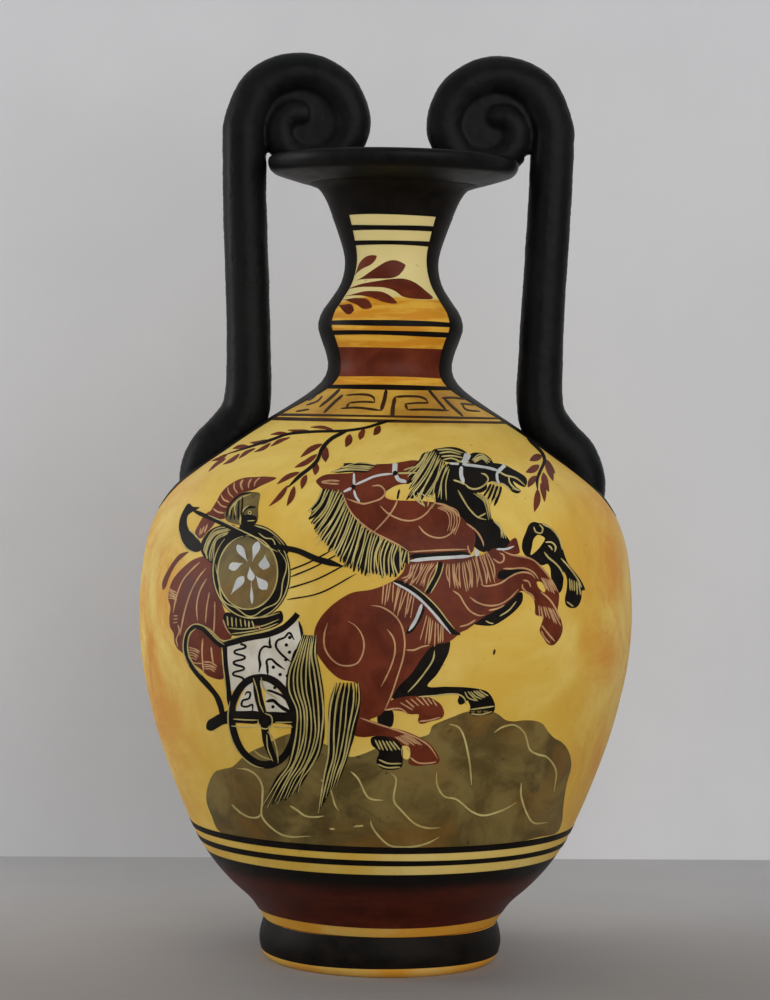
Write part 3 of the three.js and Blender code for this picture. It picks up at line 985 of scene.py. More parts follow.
def far_horse(black, cream, white):
    """The black horse behind, that looks to the right."""
    black.area(((20.3, 165.0), (25.0, 165.2), (34.7, 165.3), (38.9, 164.6), (41.3, 163.4), (43.8, 162.1),
                (45.8, 160.7), (46.3, 159.0), (45.6, 157.5), (43.9, 158.0), (41.6, 159.3), (42.5, 157.6),
                (44.3, 156.1), (43.4, 155.3), (41.6, 155.7), (40.0, 157.1), (38.3, 158.5), (35.5, 159.0),
                (33.0, 158.6), (33.0, 156.8), (31.3, 155.4), (29.4, 155.2), (31.6, 153.3), (33.1, 151.1),
                (34.2, 148.3), (35.2, 146.4), (37.1, 144.8), (38.7, 142.4), (40.3, 140.3), (41.3, 138.4),
                (40.0, 136.9), (36.5, 136.3), (32.0, 135.6), (29.0, 137.5), (26.0, 142.5), (23.5, 147.0),
                (19.1, 150.6), (16.0, 152.0), (16.5, 156.0), (17.5, 160.0), (18.2, 163.0)), FIGURE)
    black.area(((14.6, 169.0), (17.7, 170.0), (21.6, 170.3), (24.4, 169.6), (26.2, 168.2), (25.0, 166.4),
                (22.0, 165.3), (18.6, 165.6)), FIGURE)
    black.area(((27.3, 168.2), (30.4, 168.6), (32.5, 167.9), (34.3, 166.3), (34.9, 164.8), (28.0, 164.8),
                (26.4, 166.2)), FIGURE)
    cream.comb((((16.2, 169.2), (18.2, 166.0)), ((20.5, 169.6), (21.4, 166.2)),
                ((25.0, 168.4), (24.6, 165.6))),
               4, 0.4)
    cream.comb((((27.8, 166.0), (28.6, 165.2)), ((30.8, 167.8), (31.2, 166.3)),
                ((34.2, 166.0), (33.0, 165.0))),
               4, 0.4)
    lines = (
        ((30.9, 161.7), (32.4, 161.2), (33.3, 159.8), (32.3, 158.0), (29.9, 156.6), (27.5, 156.6),
         (25.2, 158.3)),
        ((21.7, 159.3), (24.0, 158.6), (25.4, 157.9)),
        ((23.3, 156.0), (24.7, 153.6), (27.2, 149.8), (30.1, 147.1), (32.9, 146.3)),
        ((30.0, 147.0), (31.5, 147.8), (32.8, 148.5)),
        ((34.2, 159.0), (36.9, 158.4), (38.3, 158.2), (41.0, 156.1)),
        ((36.9, 162.3), (39.0, 161.2), (42.5, 160.3), (45.6, 157.9)),
        ((40.1, 161.0), (40.4, 158.9), (42.3, 156.8), (44.0, 156.1)),
    )
    for line in lines:
        cream.stroke(line, 0.5)
    cream.comb((((28.6, 155.0), (30.4, 155.2)), ((31.8, 152.6), (33.4, 152.9)),
                ((33.0, 149.0), (34.2, 149.3)),
                ((33.5, 146.5), (34.9, 146.6))), 3, 0.3)
    cream.comb((((35.2, 146.2), (36.8, 145.6)), ((37.3, 143.4), (38.5, 142.9)),
                ((37.9, 140.8), (39.4, 140.4))),
               3, 0.3)
    black.comb((((34.2, 158.4), (37.6, 157.6)), ((33.4, 156.2), (37.0, 155.6)),
                ((31.7, 153.8), (36.0, 151.6))),
               4, 0.9, FIGURE)
    cream.comb((((34.8, 158.2), (37.2, 157.8)), ((33.9, 155.4), (36.2, 154.6)),
                ((32.6, 152.6), (33.9, 151.2))),
               3, 0.3)
    white.stroke(((26.4, 168.0), (25.9, 166.7), (24.9, 164.9)), 2.0, TOUCH, "even")
    white.stroke(((20.3, 164.8), (23.8, 164.6)), 0.7, TOUCH)
    white.stroke(((24.4, 164.6), (29.1, 164.1), (33.3, 163.5), (36.8, 162.6)), 0.85, TOUCH)
    white.stroke(((36.3, 162.1), (38.7, 164.5)), 1.3, TOUCH, "even")
    white.stroke(((36.1, 162.2), (36.3, 159.8), (36.9, 158.3)), 0.8, TOUCH)
    white.stroke(((24.3, 163.9), (24.3, 161.0), (25.2, 158.3)), 1.2, TOUCH)


def far_legs(black, cream, ochre):
    """The black horse's legs and belly."""
    black.area(((45.1, 136.6), (45.1, 139.4), (46.2, 142.5), (47.2, 145.0), (48.5, 145.9), (50.4, 145.6),
                (52.8, 145.1), (55.7, 143.0), (57.8, 139.6), (59.0, 135.7), (60.4, 132.3), (63.3, 128.8),
                (65.0, 126.4), (66.2, 123.5), (65.3, 123.4), (65.0, 120.4), (63.8, 118.0), (62.0, 117.4),
                (60.1, 118.3), (59.6, 120.4), (60.1, 123.4), (60.1, 127.4), (58.9, 129.6), (59.0, 126.5),
                (58.5, 123.5), (57.7, 122.4), (56.0, 124.1), (54.9, 127.3), (54.5, 130.6), (53.6, 132.0),
                (51.7, 131.5), (49.5, 133.1), (47.8, 134.0), (46.4, 134.5)), FIGURE)
    ochre.area(((47.9, 134.9), (48.3, 137.6), (48.8, 140.2), (50.2, 141.6), (52.5, 140.5), (51.6, 138.6),
                (49.8, 136.3)), OVER)
    black.area(((45.2, 122.4), (45.5, 119.6), (44.1, 117.3), (41.9, 115.1), (39.4, 113.2), (36.1, 111.3),
                (32.4, 111.1), (29.0, 111.9), (34.0, 116.0), (41.0, 121.0)), FIGURE)
    cream.stroke(((37.9, 114.3), (41.0, 116.4), (43.4, 119.4)), 0.45)
    cream.stroke(((33.3, 112.7), (34.8, 112.0), (36.0, 111.9)), 0.4)
    black.area(((21.4, 106.0), (21.4, 102.6), (19.9, 98.9), (17.5, 94.6), (14.4, 90.6), (20.9, 90.5),
                (27.1, 90.4), (31.7, 89.9), (34.4, 89.0), (36.1, 87.0), (37.0, 84.5), (36.6, 82.4),
                (33.1, 81.1), (30.0, 80.9), (28.5, 81.9), (28.8, 83.8), (27.6, 86.1), (26.6, 84.9),
                (25.2, 84.6), (24.5, 85.8), (24.9, 87.6), (20.9, 87.7), (16.0, 87.1), (10.1, 86.5),
                (4.3, 85.6), (2.0, 87.5), (6.0, 93.5), (12.0, 101.5), (17.0, 105.4)), FIGURE)
    black.area(((-1.4, 82.2), (2.8, 82.3), (2.8, 77.0), (-0.4, 76.4), (-2.0, 78.2)), FIGURE)
    black.area(((-4.0, 73.0), (3.0, 73.2), (6.2, 70.3), (6.6, 66.0), (6.2, 63.4), (3.0, 62.4), (-0.5, 62.9),
                (-2.2, 64.9), (-1.4, 68.4), (-3.8, 70.6)), OVER)
    lines = (
        ((52.6, 139.2), (54.7, 139.2), (56.1, 137.8), (55.8, 136.0)),
        ((48.7, 144.3), (49.4, 142.6), (51.2, 142.2), (51.7, 143.7), (50.5, 145.1)),
        ((52.3, 136.0), (53.7, 134.2), (56.2, 132.2), (58.0, 130.1), (59.0, 127.7)),
        ((53.6, 138.2), (54.6, 137.4), (55.0, 136.6)),
        ((51.5, 145.2), (54.6, 143.7), (57.2, 140.6), (58.4, 136.8)),
        ((57.9, 134.0), (60.8, 130.9), (63.3, 127.6), (65.0, 124.4)),
        ((60.1, 119.6), (61.2, 118.8), (62.4, 117.9)),
        ((11.4, 87.0), (16.8, 87.4), (20.9, 88.0), (24.7, 88.0), (26.5, 87.0), (27.4, 84.8)),
        ((28.7, 83.0), (33.1, 83.7), (36.8, 84.3)),
        ((29.0, 81.6), (32.3, 81.4), (36.0, 82.5)),
        ((16.5, 102.6), (16.1, 99.6), (13.6, 95.4), (10.4, 91.2), (7.9, 88.5)),
        ((-1.4, 65.8), (1.6, 64.6), (6.2, 64.6)),
        ((-1.8, 64.3), (1.2, 63.2), (5.8, 63.4)),
    )
    for line in lines:
        cream.stroke(line, 0.5)
    cream.comb((((60.9, 127.3), (64.0, 126.0)), ((61.0, 123.0), (64.6, 122.2))), 5, 0.45)
    cream.comb((((26.8, 88.8), (31.6, 89.6)), ((28.2, 87.0), (33.0, 88.6)), ((30.6, 85.8), (34.6, 87.6))), 6,
               0.45)
    cream.comb((((-2.8, 72.4), (3.2, 72.0)), ((-1.4, 69.2), (5.6, 69.0))), 6, 0.5)


def near_horse(maroon, rose, ochre, black):
    """The dark red horse in front: its body leaps to the right and its head looks back."""
    maroon.area(((-23.9, 158.1), (-22.6, 159.5), (-20.5, 160.4), (-16.7, 160.8), (-11.8, 161.2),
                 (-8.6, 162.6), (-6.0, 163.8), (1.4, 164.5), (5.2, 165.2), (8.6, 165.7), (11.0, 165.2),
                 (12.2, 164.0), (11.6, 161.4), (9.9, 159.4), (7.1, 158.1), (3.3, 157.4), (0.9, 156.2),
                 (-1.0, 154.6), (-0.7, 153.2), (1.2, 152.4), (5.8, 152.2), (10.7, 152.2), (14.9, 151.9),
                 (19.1, 151.2), (22.6, 149.1), (24.8, 146.9), (27.4, 144.3), (29.4, 141.2), (29.2, 138.0),
                 (28.2, 135.2), (18.0, 134.2), (7.5, 134.2), (4.7, 136.6), (-0.3, 139.3), (-4.5, 141.5),
                 (-8.4, 144.3), (-11.3, 147.0), (-13.2, 149.8), (-14.6, 152.4), (-15.2, 154.4),
                 (-18.4, 154.8), (-21.5, 155.6), (-22.9, 156.8)),
                OVER)
    maroon.area(((7.3, 133.7), (5.7, 128.7), (2.6, 125.6), (0.7, 124.6), (-2.2, 123.3), (-5.5, 122.3),
                 (-10.9, 121.4), (-15.0, 119.2), (-18.7, 116.2), (-21.6, 112.8), (-23.4, 109.0),
                 (-23.6, 104.8), (-22.6, 101.0), (-20.2, 97.4), (-17.8, 94.7), (-14.6, 92.4), (-9.4, 91.2),
                 (-8.2, 89.0), (-8.2, 84.0), (-9.9, 79.0), (-9.9, 74.0), (-7.2, 73.2), (-1.4, 73.6),
                 (2.3, 72.7), (6.1, 70.6), (8.7, 68.8), (8.9, 66.6), (8.4, 65.0), (9.4, 64.1), (12.0, 63.9),
                 (15.4, 64.3), (18.4, 64.9), (18.9, 66.2), (17.5, 68.9), (15.3, 71.5), (11.0, 73.9),
                 (6.8, 75.5), (2.7, 76.5), (-1.5, 77.9), (-4.6, 79.0), (-3.0, 79.8), (-1.2, 80.6),
                 (0.4, 82.6), (2.4, 86.0), (4.4, 89.8), (9.1, 94.9), (12.4, 100.0), (15.3, 103.6),
                 (17.6, 104.6), (20.8, 105.3), (23.1, 106.8), (25.1, 108.7), (27.2, 109.7), (30.2, 112.0),
                 (32.7, 113.9), (36.4, 116.1), (39.7, 118.2), (42.2, 120.4), (45.1, 122.9), (47.7, 121.8),
                 (49.1, 120.3), (49.7, 117.9), (50.0, 115.0), (52.4, 114.3), (51.9, 111.8), (51.4, 109.7),
                 (52.8, 107.2), (54.3, 105.2), (56.0, 105.0), (58.2, 107.6), (59.0, 110.2), (58.5, 113.2),
                 (57.2, 116.6), (57.5, 119.0), (57.5, 122.4), (55.8, 125.4), (53.5, 128.7), (50.9, 131.6),
                 (48.7, 133.4), (46.0, 134.2), (42.3, 134.6), (39.7, 135.5), (37.9, 136.6), (35.6, 136.9),
                 (33.6, 135.6), (31.6, 134.5), (28.0, 134.2), (18.0, 133.6)), OVER)
    maroon.area(((0.4, 84.4), (4.6, 86.4), (9.6, 87.2), (14.1, 87.1), (17.1, 85.9), (19.2, 84.2),
                 (20.1, 81.5), (19.3, 80.0), (15.9, 78.9), (12.2, 78.0), (11.4, 79.0), (11.7, 81.0),
                 (8.8, 81.1), (5.9, 82.1), (2.6, 82.3), (0.0, 82.2)), OVER)
    maroon.area(((40.0, 137.6), (41.6, 140.0), (42.8, 140.5), (43.7, 138.3), (44.1, 135.4), (41.8, 135.1),
                 (39.0, 136.0)), OVER)
    ochre.area(((-0.8, 153.9), (0.9, 155.2), (3.4, 156.4), (6.6, 157.4), (8.0, 157.4), (7.2, 154.6),
                (6.2, 152.5), (3.0, 152.3), (1.0, 152.7)), OVER_TWICE)
    ochre.area(((50.1, 126.0), (51.6, 125.9), (53.0, 123.1), (52.6, 122.5), (51.4, 123.3), (50.5, 124.4)),
               OVER_TWICE)
    ochre.area(((6.4, 70.4), (8.5, 70.2), (9.0, 67.2), (8.2, 66.0), (6.6, 66.6)), OVER)
    black.area(((37.1, 127.0), (37.6, 129.3), (39.8, 129.8), (44.6, 130.0), (46.9, 129.6), (45.4, 129.2),
                (42.8, 128.3), (39.9, 126.8), (38.2, 126.6)), OVER_TWICE)
    black.stroke(((7.4, 133.6), (14.0, 134.1), (21.0, 134.6), (28.0, 134.9)), 1.7, OVER_TWICE)
    black.stroke(((3.9, 155.9), (3.5, 154.0), (3.3, 152.6)), 0.7, LINE)
    black.area(((6.5, 161.6), (9.0, 162.6), (11.0, 163.0), (10.6, 161.7), (8.4, 161.2)), OVER_TWICE)
    lines = (
        ((-5.3, 156.8), (-2.7, 157.0), (-1.2, 155.8), (-0.9, 154.4), (-2.1, 152.8), (-4.7, 151.7),
         (-7.9, 150.9), (-10.3, 151.4), (-13.6, 152.5)),
        ((-22.1, 157.9), (-19.2, 158.4), (-16.0, 158.3)),
        ((-22.0, 157.7), (-19.1, 157.4), (-16.3, 157.3)),
        ((3.3, 152.5), (2.7, 150.7), (0.6, 147.2), (-1.9, 144.2), (-4.3, 141.7)),
        ((-15.0, 154.2), (-13.2, 149.8), (-11.3, 147.0), (-8.4, 144.3), (-4.5, 141.6), (4.7, 137.0),
         (7.6, 135.1)),
        ((-2.4, 150.3), (-0.1, 148.1), (2.8, 146.5), (5.9, 145.6), (8.7, 145.7), (11.5, 146.9), (13.9, 149.2),
         (14.9, 151.2)),
        ((10.5, 143.9), (12.3, 141.8), (15.1, 140.3), (18.3, 140.1), (21.0, 141.4), (23.3, 144.4)),
        ((7.6, 135.2), (15.2, 135.8), (27.1, 136.4)),
        ((26.9, 137.7), (27.2, 136.2), (27.9, 134.8)),
        ((15.5, 151.6), (19.4, 150.8), (22.4, 148.8), (24.4, 146.4)),
        ((26.3, 145.0), (29.8, 142.3), (31.8, 139.1), (32.2, 137.5)),
        ((-19.2, 111.1), (-20.2, 107.4), (-20.1, 103.2), (-18.4, 99.9), (-15.4, 97.4), (-12.1, 96.9),
         (-9.1, 97.9), (-7.4, 100.9), (-7.0, 104.6), (-8.1, 108.0), (-10.2, 110.5), (-12.4, 111.8)),
        ((-4.7, 117.2), (-1.2, 116.6), (2.5, 114.4), (5.1, 111.2), (6.5, 105.9), (6.2, 100.4), (4.2, 93.2),
         (2.2, 86.9), (0.2, 82.2)),
        ((0.6, 109.4), (2.7, 106.5), (3.4, 102.7), (2.5, 98.1), (0.4, 93.0), (-1.1, 90.1)),
        ((7.1, 102.5), (9.8, 102.6), (12.3, 103.7), (14.8, 104.2)),
        ((22.2, 122.6), (24.5, 121.0), (26.2, 118.2), (28.3, 115.7), (31.3, 114.4), (33.0, 114.7)),
        ((27.8, 120.6), (30.4, 118.8), (34.1, 117.8), (37.9, 118.3), (41.2, 120.4), (44.0, 123.4)),
        ((34.2, 116.2), (37.0, 116.8), (39.5, 118.1)),
        ((24.7, 110.6), (27.5, 111.4), (30.0, 113.0)),
        ((31.4, 125.0), (32.6, 124.3), (35.1, 124.5), (38.1, 125.4), (41.0, 127.4), (43.5, 128.7),
         (46.1, 129.1), (48.4, 128.4), (49.5, 127.1)),
        ((38.7, 130.2), (41.6, 130.2), (44.6, 130.5), (46.8, 130.2), (49.1, 128.9), (50.6, 126.9)),
        ((38.6, 136.0), (41.6, 134.8), (45.3, 134.2), (48.7, 133.2), (51.3, 131.0), (54.3, 127.4),
         (56.2, 124.5), (57.4, 122.4)),
        ((45.3, 125.2), (45.3, 124.1), (46.6, 122.6), (48.5, 121.6), (49.4, 119.8)),
        ((45.4, 126.5), (47.3, 126.0), (48.1, 124.1)),
        ((35.3, 133.5), (37.6, 132.1), (38.9, 132.9), (38.8, 134.7), (37.5, 135.4)),
        ((51.4, 122.7), (54.4, 120.2), (56.4, 117.3), (58.0, 113.6)),
        ((51.9, 111.6), (54.2, 108.7), (56.5, 106.2)),
        ((51.8, 109.7), (53.2, 107.2), (54.9, 105.5)),
        ((11.8, 78.8), (15.1, 79.2), (18.9, 80.3)),
        ((0.4, 82.4), (5.5, 82.9), (8.0, 81.2)),
        ((-7.8, 79.6), (-1.5, 77.5), (4.8, 75.6), (11.0, 73.3), (15.3, 70.6), (18.3, 66.4)),
        ((8.9, 66.8), (11.6, 65.0), (15.4, 64.9), (17.8, 65.4)),
    )
    for line in lines:
        rose.stroke(line, 0.55)
    rose.comb((((16.5, 150.0), (18.5, 151.2)), ((20.0, 148.4), (23.0, 149.0)), ((20.6, 145.5), (24.2, 145.8)),
               ((20.4, 142.2), (22.6, 141.4))), 5, 0.4)
    rose.comb((((51.5, 127.6), (54.3, 126.8)), ((53.6, 122.9), (56.5, 122.6))), 5, 0.45)
    rose.comb((((50.8, 118.2), (55.4, 117.2)), ((51.2, 114.8), (58.0, 111.6))), 7, 0.45)
    rose.comb((((5.5, 84.9), (8.2, 86.2), (12.5, 87.0), (16.0, 86.3)),
               ((9.4, 82.4), (12.4, 83.8), (15.4, 84.2),
               (17.6, 84.0))), 7, 0.45)
    rose.comb((((4.0, 73.6), (7.8, 74.6)), ((8.3, 70.8), (12.8, 71.0))), 6, 0.42)


def hair(black, cream, rose):
    """Manes, chest fringes and the two tails: dark strands first, then fewer light ones over them."""
    mane = (((-21.5, 155.6), (-15.2, 154.5), (-13.2, 149.8), (-8.4, 144.3), (-4.5, 141.4), (4.7, 136.9),
             (7.2, 135.0)),
            ((-23.0, 151.6), (-19.0, 146.0), (-14.2, 141.0), (-9.4, 136.6), (-4.0, 134.6), (3.4, 132.6),
             (6.6, 133.2)),
            ((-25.8, 148.2), (-23.6, 140.6), (-18.0, 134.6), (-12.6, 130.0), (-5.4, 127.2), (2.4, 127.0),
             (6.6, 131.6)))
    black.comb(mane, 38, 1.35, LINE - 0.02, 0.3)
    cream.comb(mane, 36, 0.46, TOUCH, 0.42)
    crest = (((12.4, 168.2), (14.9, 168.9), (17.6, 166.3), (19.2, 164.4), (20.6, 163.2)),
             ((10.2, 164.4), (11.8, 162.4), (13.2, 160.6), (16.0, 159.6), (18.9, 159.2)),
             ((6.4, 161.2), (7.4, 156.4), (7.0, 152.8), (14.6, 153.8), (19.6, 153.0)))
    black.comb(crest, 20, 1.3, LINE - 0.02, 0.3)
    cream.comb(crest, 15, 0.42, TOUCH, 0.4)
    curl = (((8.4, 155.4), (13.0, 154.4)), ((9.0, 152.9), (15.2, 152.8)), ((12.0, 150.2), (14.4, 149.6)))
    cream.comb(curl, 4, 0.4, TOUCH, 0.3)
    forelock = (((-4.0, 163.7), (-6.4, 161.8)), ((-9.0, 164.0), (-12.0, 161.9)),
                ((-14.5, 163.9), (-18.6, 161.2)))
    black.comb(forelock, 6, 0.9, LINE - 0.02)
    cream.comb(forelock, 5, 0.32, TOUCH, 0.3)
    fringes = (
        ((((8.4, 131.2), (16.8, 131.7)), ((7.2, 127.5), (14.8, 127.8)),
          ((5.2, 125.4), (10.0, 123.8), (13.4, 123.0))),
         11),
        ((((20.2, 131.4), (24.0, 132.0), (28.0, 133.0), (31.0, 135.2), (33.5, 136.0)),
          ((20.3, 128.0), (24.8, 127.5), (29.6, 128.6), (33.0, 129.8), (35.6, 130.6)),
          ((21.0, 124.4), (26.8, 122.7), (30.5, 124.2), (33.5, 125.2), (36.0, 126.7))), 19),
        ((((-0.6, 124.2), (2.4, 124.6), (5.3, 123.0), (9.6, 120.4)),
          ((-1.2, 117.8), (2.1, 117.3), (3.6, 114.8),
          (8.0, 112.6))), 11),
        ((((13.5, 114.2), (19.2, 110.6)), ((11.9, 105.4), (16.1, 103.8), (19.6, 105.5))), 8),
    )
    for rows, strands in fringes:
        rose.comb(rows, strands, 0.44, LINE, 0.4)
    tails = (
        (((-27.2, 107.0), (-23.0, 106.8)), ((-29.2, 100.8), (-23.3, 100.9)), ((-31.5, 94.3), (-22.2, 95.0)),
         ((-31.6, 88.6), (-21.0, 88.4)), ((-29.2, 82.0), (-20.5, 81.5)), ((-28.9, 75.0), (-20.4, 74.2)),
         ((-30.0, 68.0), (-21.7, 68.0)), ((-31.2, 63.4), (-24.6, 62.6)), ((-34.6, 58.6), (-26.6, 58.6)),
         ((-39.6, 49.4), (-34.4, 51.0), (-28.4, 54.6))),
        (((-15.9, 91.2), (-8.6, 91.3)), ((-17.6, 83.6), (-8.4, 84.8)), ((-17.9, 75.0), (-9.8, 76.6)),
         ((-18.0, 66.3), (-12.4, 66.4)), ((-18.9, 60.6), (-14.0, 61.6)),
         ((-20.9, 47.8), (-18.6, 52.6), (-15.4, 57.4))),
    )
    for rows, strands in zip(tails, (8, 6)):
        black.comb(rows, strands + 1, 1.5, LINE - 0.02, 0.08)
        cream.comb(rows, strands, 0.5, TOUCH, 0.2)


def harness(black, white, cream):
    """The straps of both horses."""
    black.stroke(((2.6, 125.5), (7.8, 123.2), (12.0, 120.2), (16.3, 116.1), (19.7, 112.2), (22.2, 109.1),
                  (24.9, 108.0)), 2.3, LINE)
    white.stroke(((2.4, 125.0), (7.4, 122.4), (11.5, 119.4), (15.8, 115.1), (19.1, 111.3), (21.8, 108.2)),
                 0.85, TOUCH)
    cream.stroke(((8.2, 124.4), (12.9, 121.0), (17.2, 116.9), (20.6, 112.6), (23.0, 109.8)), 0.4, TOUCH)
    black.stroke(((18.1, 132.2), (17.3, 128.8), (15.3, 124.6), (13.6, 121.4)), 2.0, LINE - 0.01)
    cream.stroke(((17.0, 132.0), (16.3, 128.6), (14.2, 124.4), (12.8, 121.8)), 0.5, TOUCH)
    cream.stroke(((19.0, 131.6), (18.2, 128.2), (16.3, 124.2), (14.8, 121.6)), 0.4, TOUCH)
    black.stroke(((12.6, 117.2), (11.2, 113.8), (9.2, 110.4), (7.2, 108.0)), 1.7, LINE - 0.01)
    white.stroke(((12.0, 118.0), (11.2, 115.4), (9.8, 112.0), (7.8, 108.9)), 1.1, TOUCH)
    white.stroke(((7.8, 132.2), (13.9, 133.0), (20.1, 133.5), (28.6, 134.2)), 1.1, TOUCH)
    white.stroke(((29.8, 134.0), (29.9, 135.2), (29.6, 136.6)), 1.4, TOUCH)
    white.stroke(((36.4, 136.6), (39.7, 136.7), (42.3, 137.7)), 0.7, TOUCH)
    white.stroke(((-11.3, 161.0), (-11.2, 157.1)), 0.85, TOUCH)
    white.stroke(((-14.7, 154.7), (-12.0, 156.0)), 0.85, TOUCH)
    white.stroke(((-10.9, 157.1), (-7.6, 158.6), (-4.8, 159.9), (-1.3, 160.7), (1.8, 161.0)), 0.65, TOUCH)
    white.stroke(((-11.2, 155.3), (-10.6, 153.3), (-9.2, 151.4)), 0.75, TOUCH)
    white.stroke(((2.3, 164.5), (2.2, 161.4)), 1.7, TOUCH, "even")
    white.stroke(((2.5, 160.9), (3.5, 159.1), (6.2, 158.4)), 1.2, TOUCH)
    cream.stroke(((3.2, 161.2), (6.3, 161.3), (9.8, 161.5)), 0.5, TOUCH)
    cream.stroke(((5.2, 162.3), (8.0, 163.2), (11.0, 163.6)), 0.4, TOUCH)
    black.dot((-11.4, 156.5), 0.7, TOUCH + 0.02)
    black.dot((2.4, 161.2), 0.85, TOUCH + 0.02)
    black.dot((24.0, 164.4), 0.6, TOUCH + 0.02)
    for start, bend, end in (((-32.2, 128.4), (-26.0, 131.0), (-18.4, 135.2)),
                             ((-32.0, 126.1), (-24.0, 129.6),
                             (-15.6, 134.4)), ((-32.8, 122.2), (-23.0, 125.6), (-13.6, 130.6)),
                             ((-32.8, 118.6), (-22.0, 121.0), (-10.0, 127.6))):
        black.stroke((start, bend, end), 0.5, LINE - 0.02)


def charioteer(maroon, rose, black, cream):
    """The driver's cloak with its folds and hems, and the dark hair, arm and skirt round the shield."""
    maroon.area(((-60.3, 132.6), (-64.2, 131.4), (-66.7, 129.5), (-69.6, 126.5), (-71.4, 123.6),
                 (-72.4, 118.4), (-71.6, 115.4), (-71.9, 112.1), (-71.6, 108.8), (-70.4, 106.7),
                 (-70.1, 103.8), (-68.9, 101.5), (-67.3, 100.2), (-65.0, 97.6), (-61.1, 94.8), (-58.6, 92.7),
                 (-53.8, 91.8), (-53.3, 97.0), (-52.4, 103.0), (-50.9, 107.0), (-52.6, 112.0), (-54.6, 117.0),
                 (-56.0, 122.0), (-56.6, 127.8), (-57.8, 131.9)), FIGURE)
    maroon.stroke(((-74.1, 121.2), (-73.3, 124.6), (-70.8, 129.6), (-68.4, 132.5), (-66.0, 133.9)), 1.4,
                  FIGURE)
    maroon.area(((-63.8, 140.0), (-62.6, 143.2), (-60.9, 146.0), (-58.8, 147.6), (-56.8, 145.4),
                 (-57.6, 143.2), (-60.0, 140.4), (-62.0, 138.4)), FIGURE)
    rose.comb((((-61.8, 141.8), (-59.6, 143.2)), ((-62.4, 139.6), (-60.6, 140.6))), 3, 0.45)
    folds = (
        ((-62.0, 130.6), (-65.0, 127.6), (-67.6, 124.2), (-69.6, 118.8), (-70.6, 113.6)),
        ((-59.9, 128.6), (-62.6, 125.0), (-65.0, 120.0), (-67.0, 113.0), (-68.2, 106.0)),
        ((-59.6, 125.2), (-61.8, 121.0), (-62.8, 116.0), (-62.4, 111.0)),
        ((-58.6, 120.6), (-59.4, 116.0), (-59.8, 110.4)),
        ((-56.8, 117.6), (-56.8, 112.0), (-57.0, 107.0)),
        ((-69.0, 109.6), (-68.4, 107.6), (-69.4, 104.6), (-68.8, 102.2)),
        ((-54.0, 111.6), (-52.8, 108.6), (-51.2, 106.4)),
        ((-60.6, 105.2), (-60.8, 101.0), (-60.2, 93.6)),
        ((-57.8, 102.4), (-57.4, 99.0), (-57.0, 97.0)),
        ((-65.4, 99.4), (-63.8, 97.2), (-60.6, 96.8)),
    )
    for line in folds:
        rose.stroke(line, 0.45)
    for rows, strands in (((((-72.2, 121.6), (-72.4, 118.4)), ((-70.8, 121.0), (-70.6, 118.2)),
                            ((-69.4, 120.0), (-69.6, 117.4))), 5),
                          ((((-65.4, 102.2), (-65.2, 98.8)), ((-63.2, 101.8), (-63.6, 98.6)),
                            ((-61.4, 100.6), (-62.6, 98.0))), 5),
                          ((((-60.2, 97.4), (-60.0, 95.0)), ((-58.0, 97.2), (-58.0, 95.0)),
                            ((-56.0, 96.0), (-56.2, 94.2))), 4),
                          ((((-70.4, 112.6), (-70.6, 110.2)), ((-68.6, 112.8), (-68.8, 110.6))), 3)):
        rose.comb(rows, strands, 0.4)
    hair_edge = ((-61.8, 136.5), (-60.2, 139.8), (-56.9, 142.4), (-50.6, 142.9), (-51.4, 139.5),
                 (-54.3, 137.2), (-56.3, 134.5), (-57.2, 130.2), (-60.3, 132.0), (-61.6, 134.0))
    black.area(hair_edge, OVER)
    cream.comb((((-51.4, 142.4), (-53.0, 140.0)), ((-57.6, 141.2), (-56.8, 137.4)),
                ((-61.0, 135.0), (-57.8, 133.0)),
                ((-60.0, 132.4), (-57.8, 130.8))), 7, 0.36, LINE, 0.3)
    black.area(((-48.9, 143.2), (-43.3, 143.5), (-39.1, 142.1), (-35.5, 139.3), (-33.0, 136.3),
                (-32.8, 134.0), (-37.0, 134.0), (-42.0, 137.0), (-48.0, 140.6)), OVER)
    cream.stroke(((-44.0, 143.1), (-39.6, 141.7), (-36.2, 139.2), (-33.6, 136.2)), 0.4)
    cream.stroke(((-42.6, 140.6), (-40.4, 139.0), (-38.0, 138.6), (-36.8, 136.4), (-35.4, 134.6)), 0.4)
    black.area(((-53.7, 110.2), (-53.4, 113.8), (-47.0, 113.0), (-40.0, 113.0), (-34.8, 114.8),
                (-34.1, 111.6), (-36.2, 109.8), (-40.4, 108.3), (-46.0, 107.0), (-50.9, 106.4)), OVER)
    for line in (((-52.2, 108.8), (-47.0, 108.6), (-40.6, 109.8), (-35.4, 112.0)),
                 ((-51.2, 106.9), (-46.0, 107.6), (-40.0, 108.9), (-35.8, 110.6)),
                 ((-44.4, 111.4), (-43.4, 108.6)), ((-42.2, 109.6), (-41.4, 108.4)),
                 ((-47.2, 112.6), (-41.0, 112.6), (-35.2, 114.2))):
        cream.stroke(line, 0.42)
    cream.comb((((-52.6, 112.8), (-45.4, 111.4)), ((-52.4, 109.4), (-45.0, 109.2))), 6, 0.4)
    maroon.area(((-43.9, 110.0), (-41.6, 110.0), (-41.2, 108.3), (-43.4, 108.2)), LINE, soft=False)


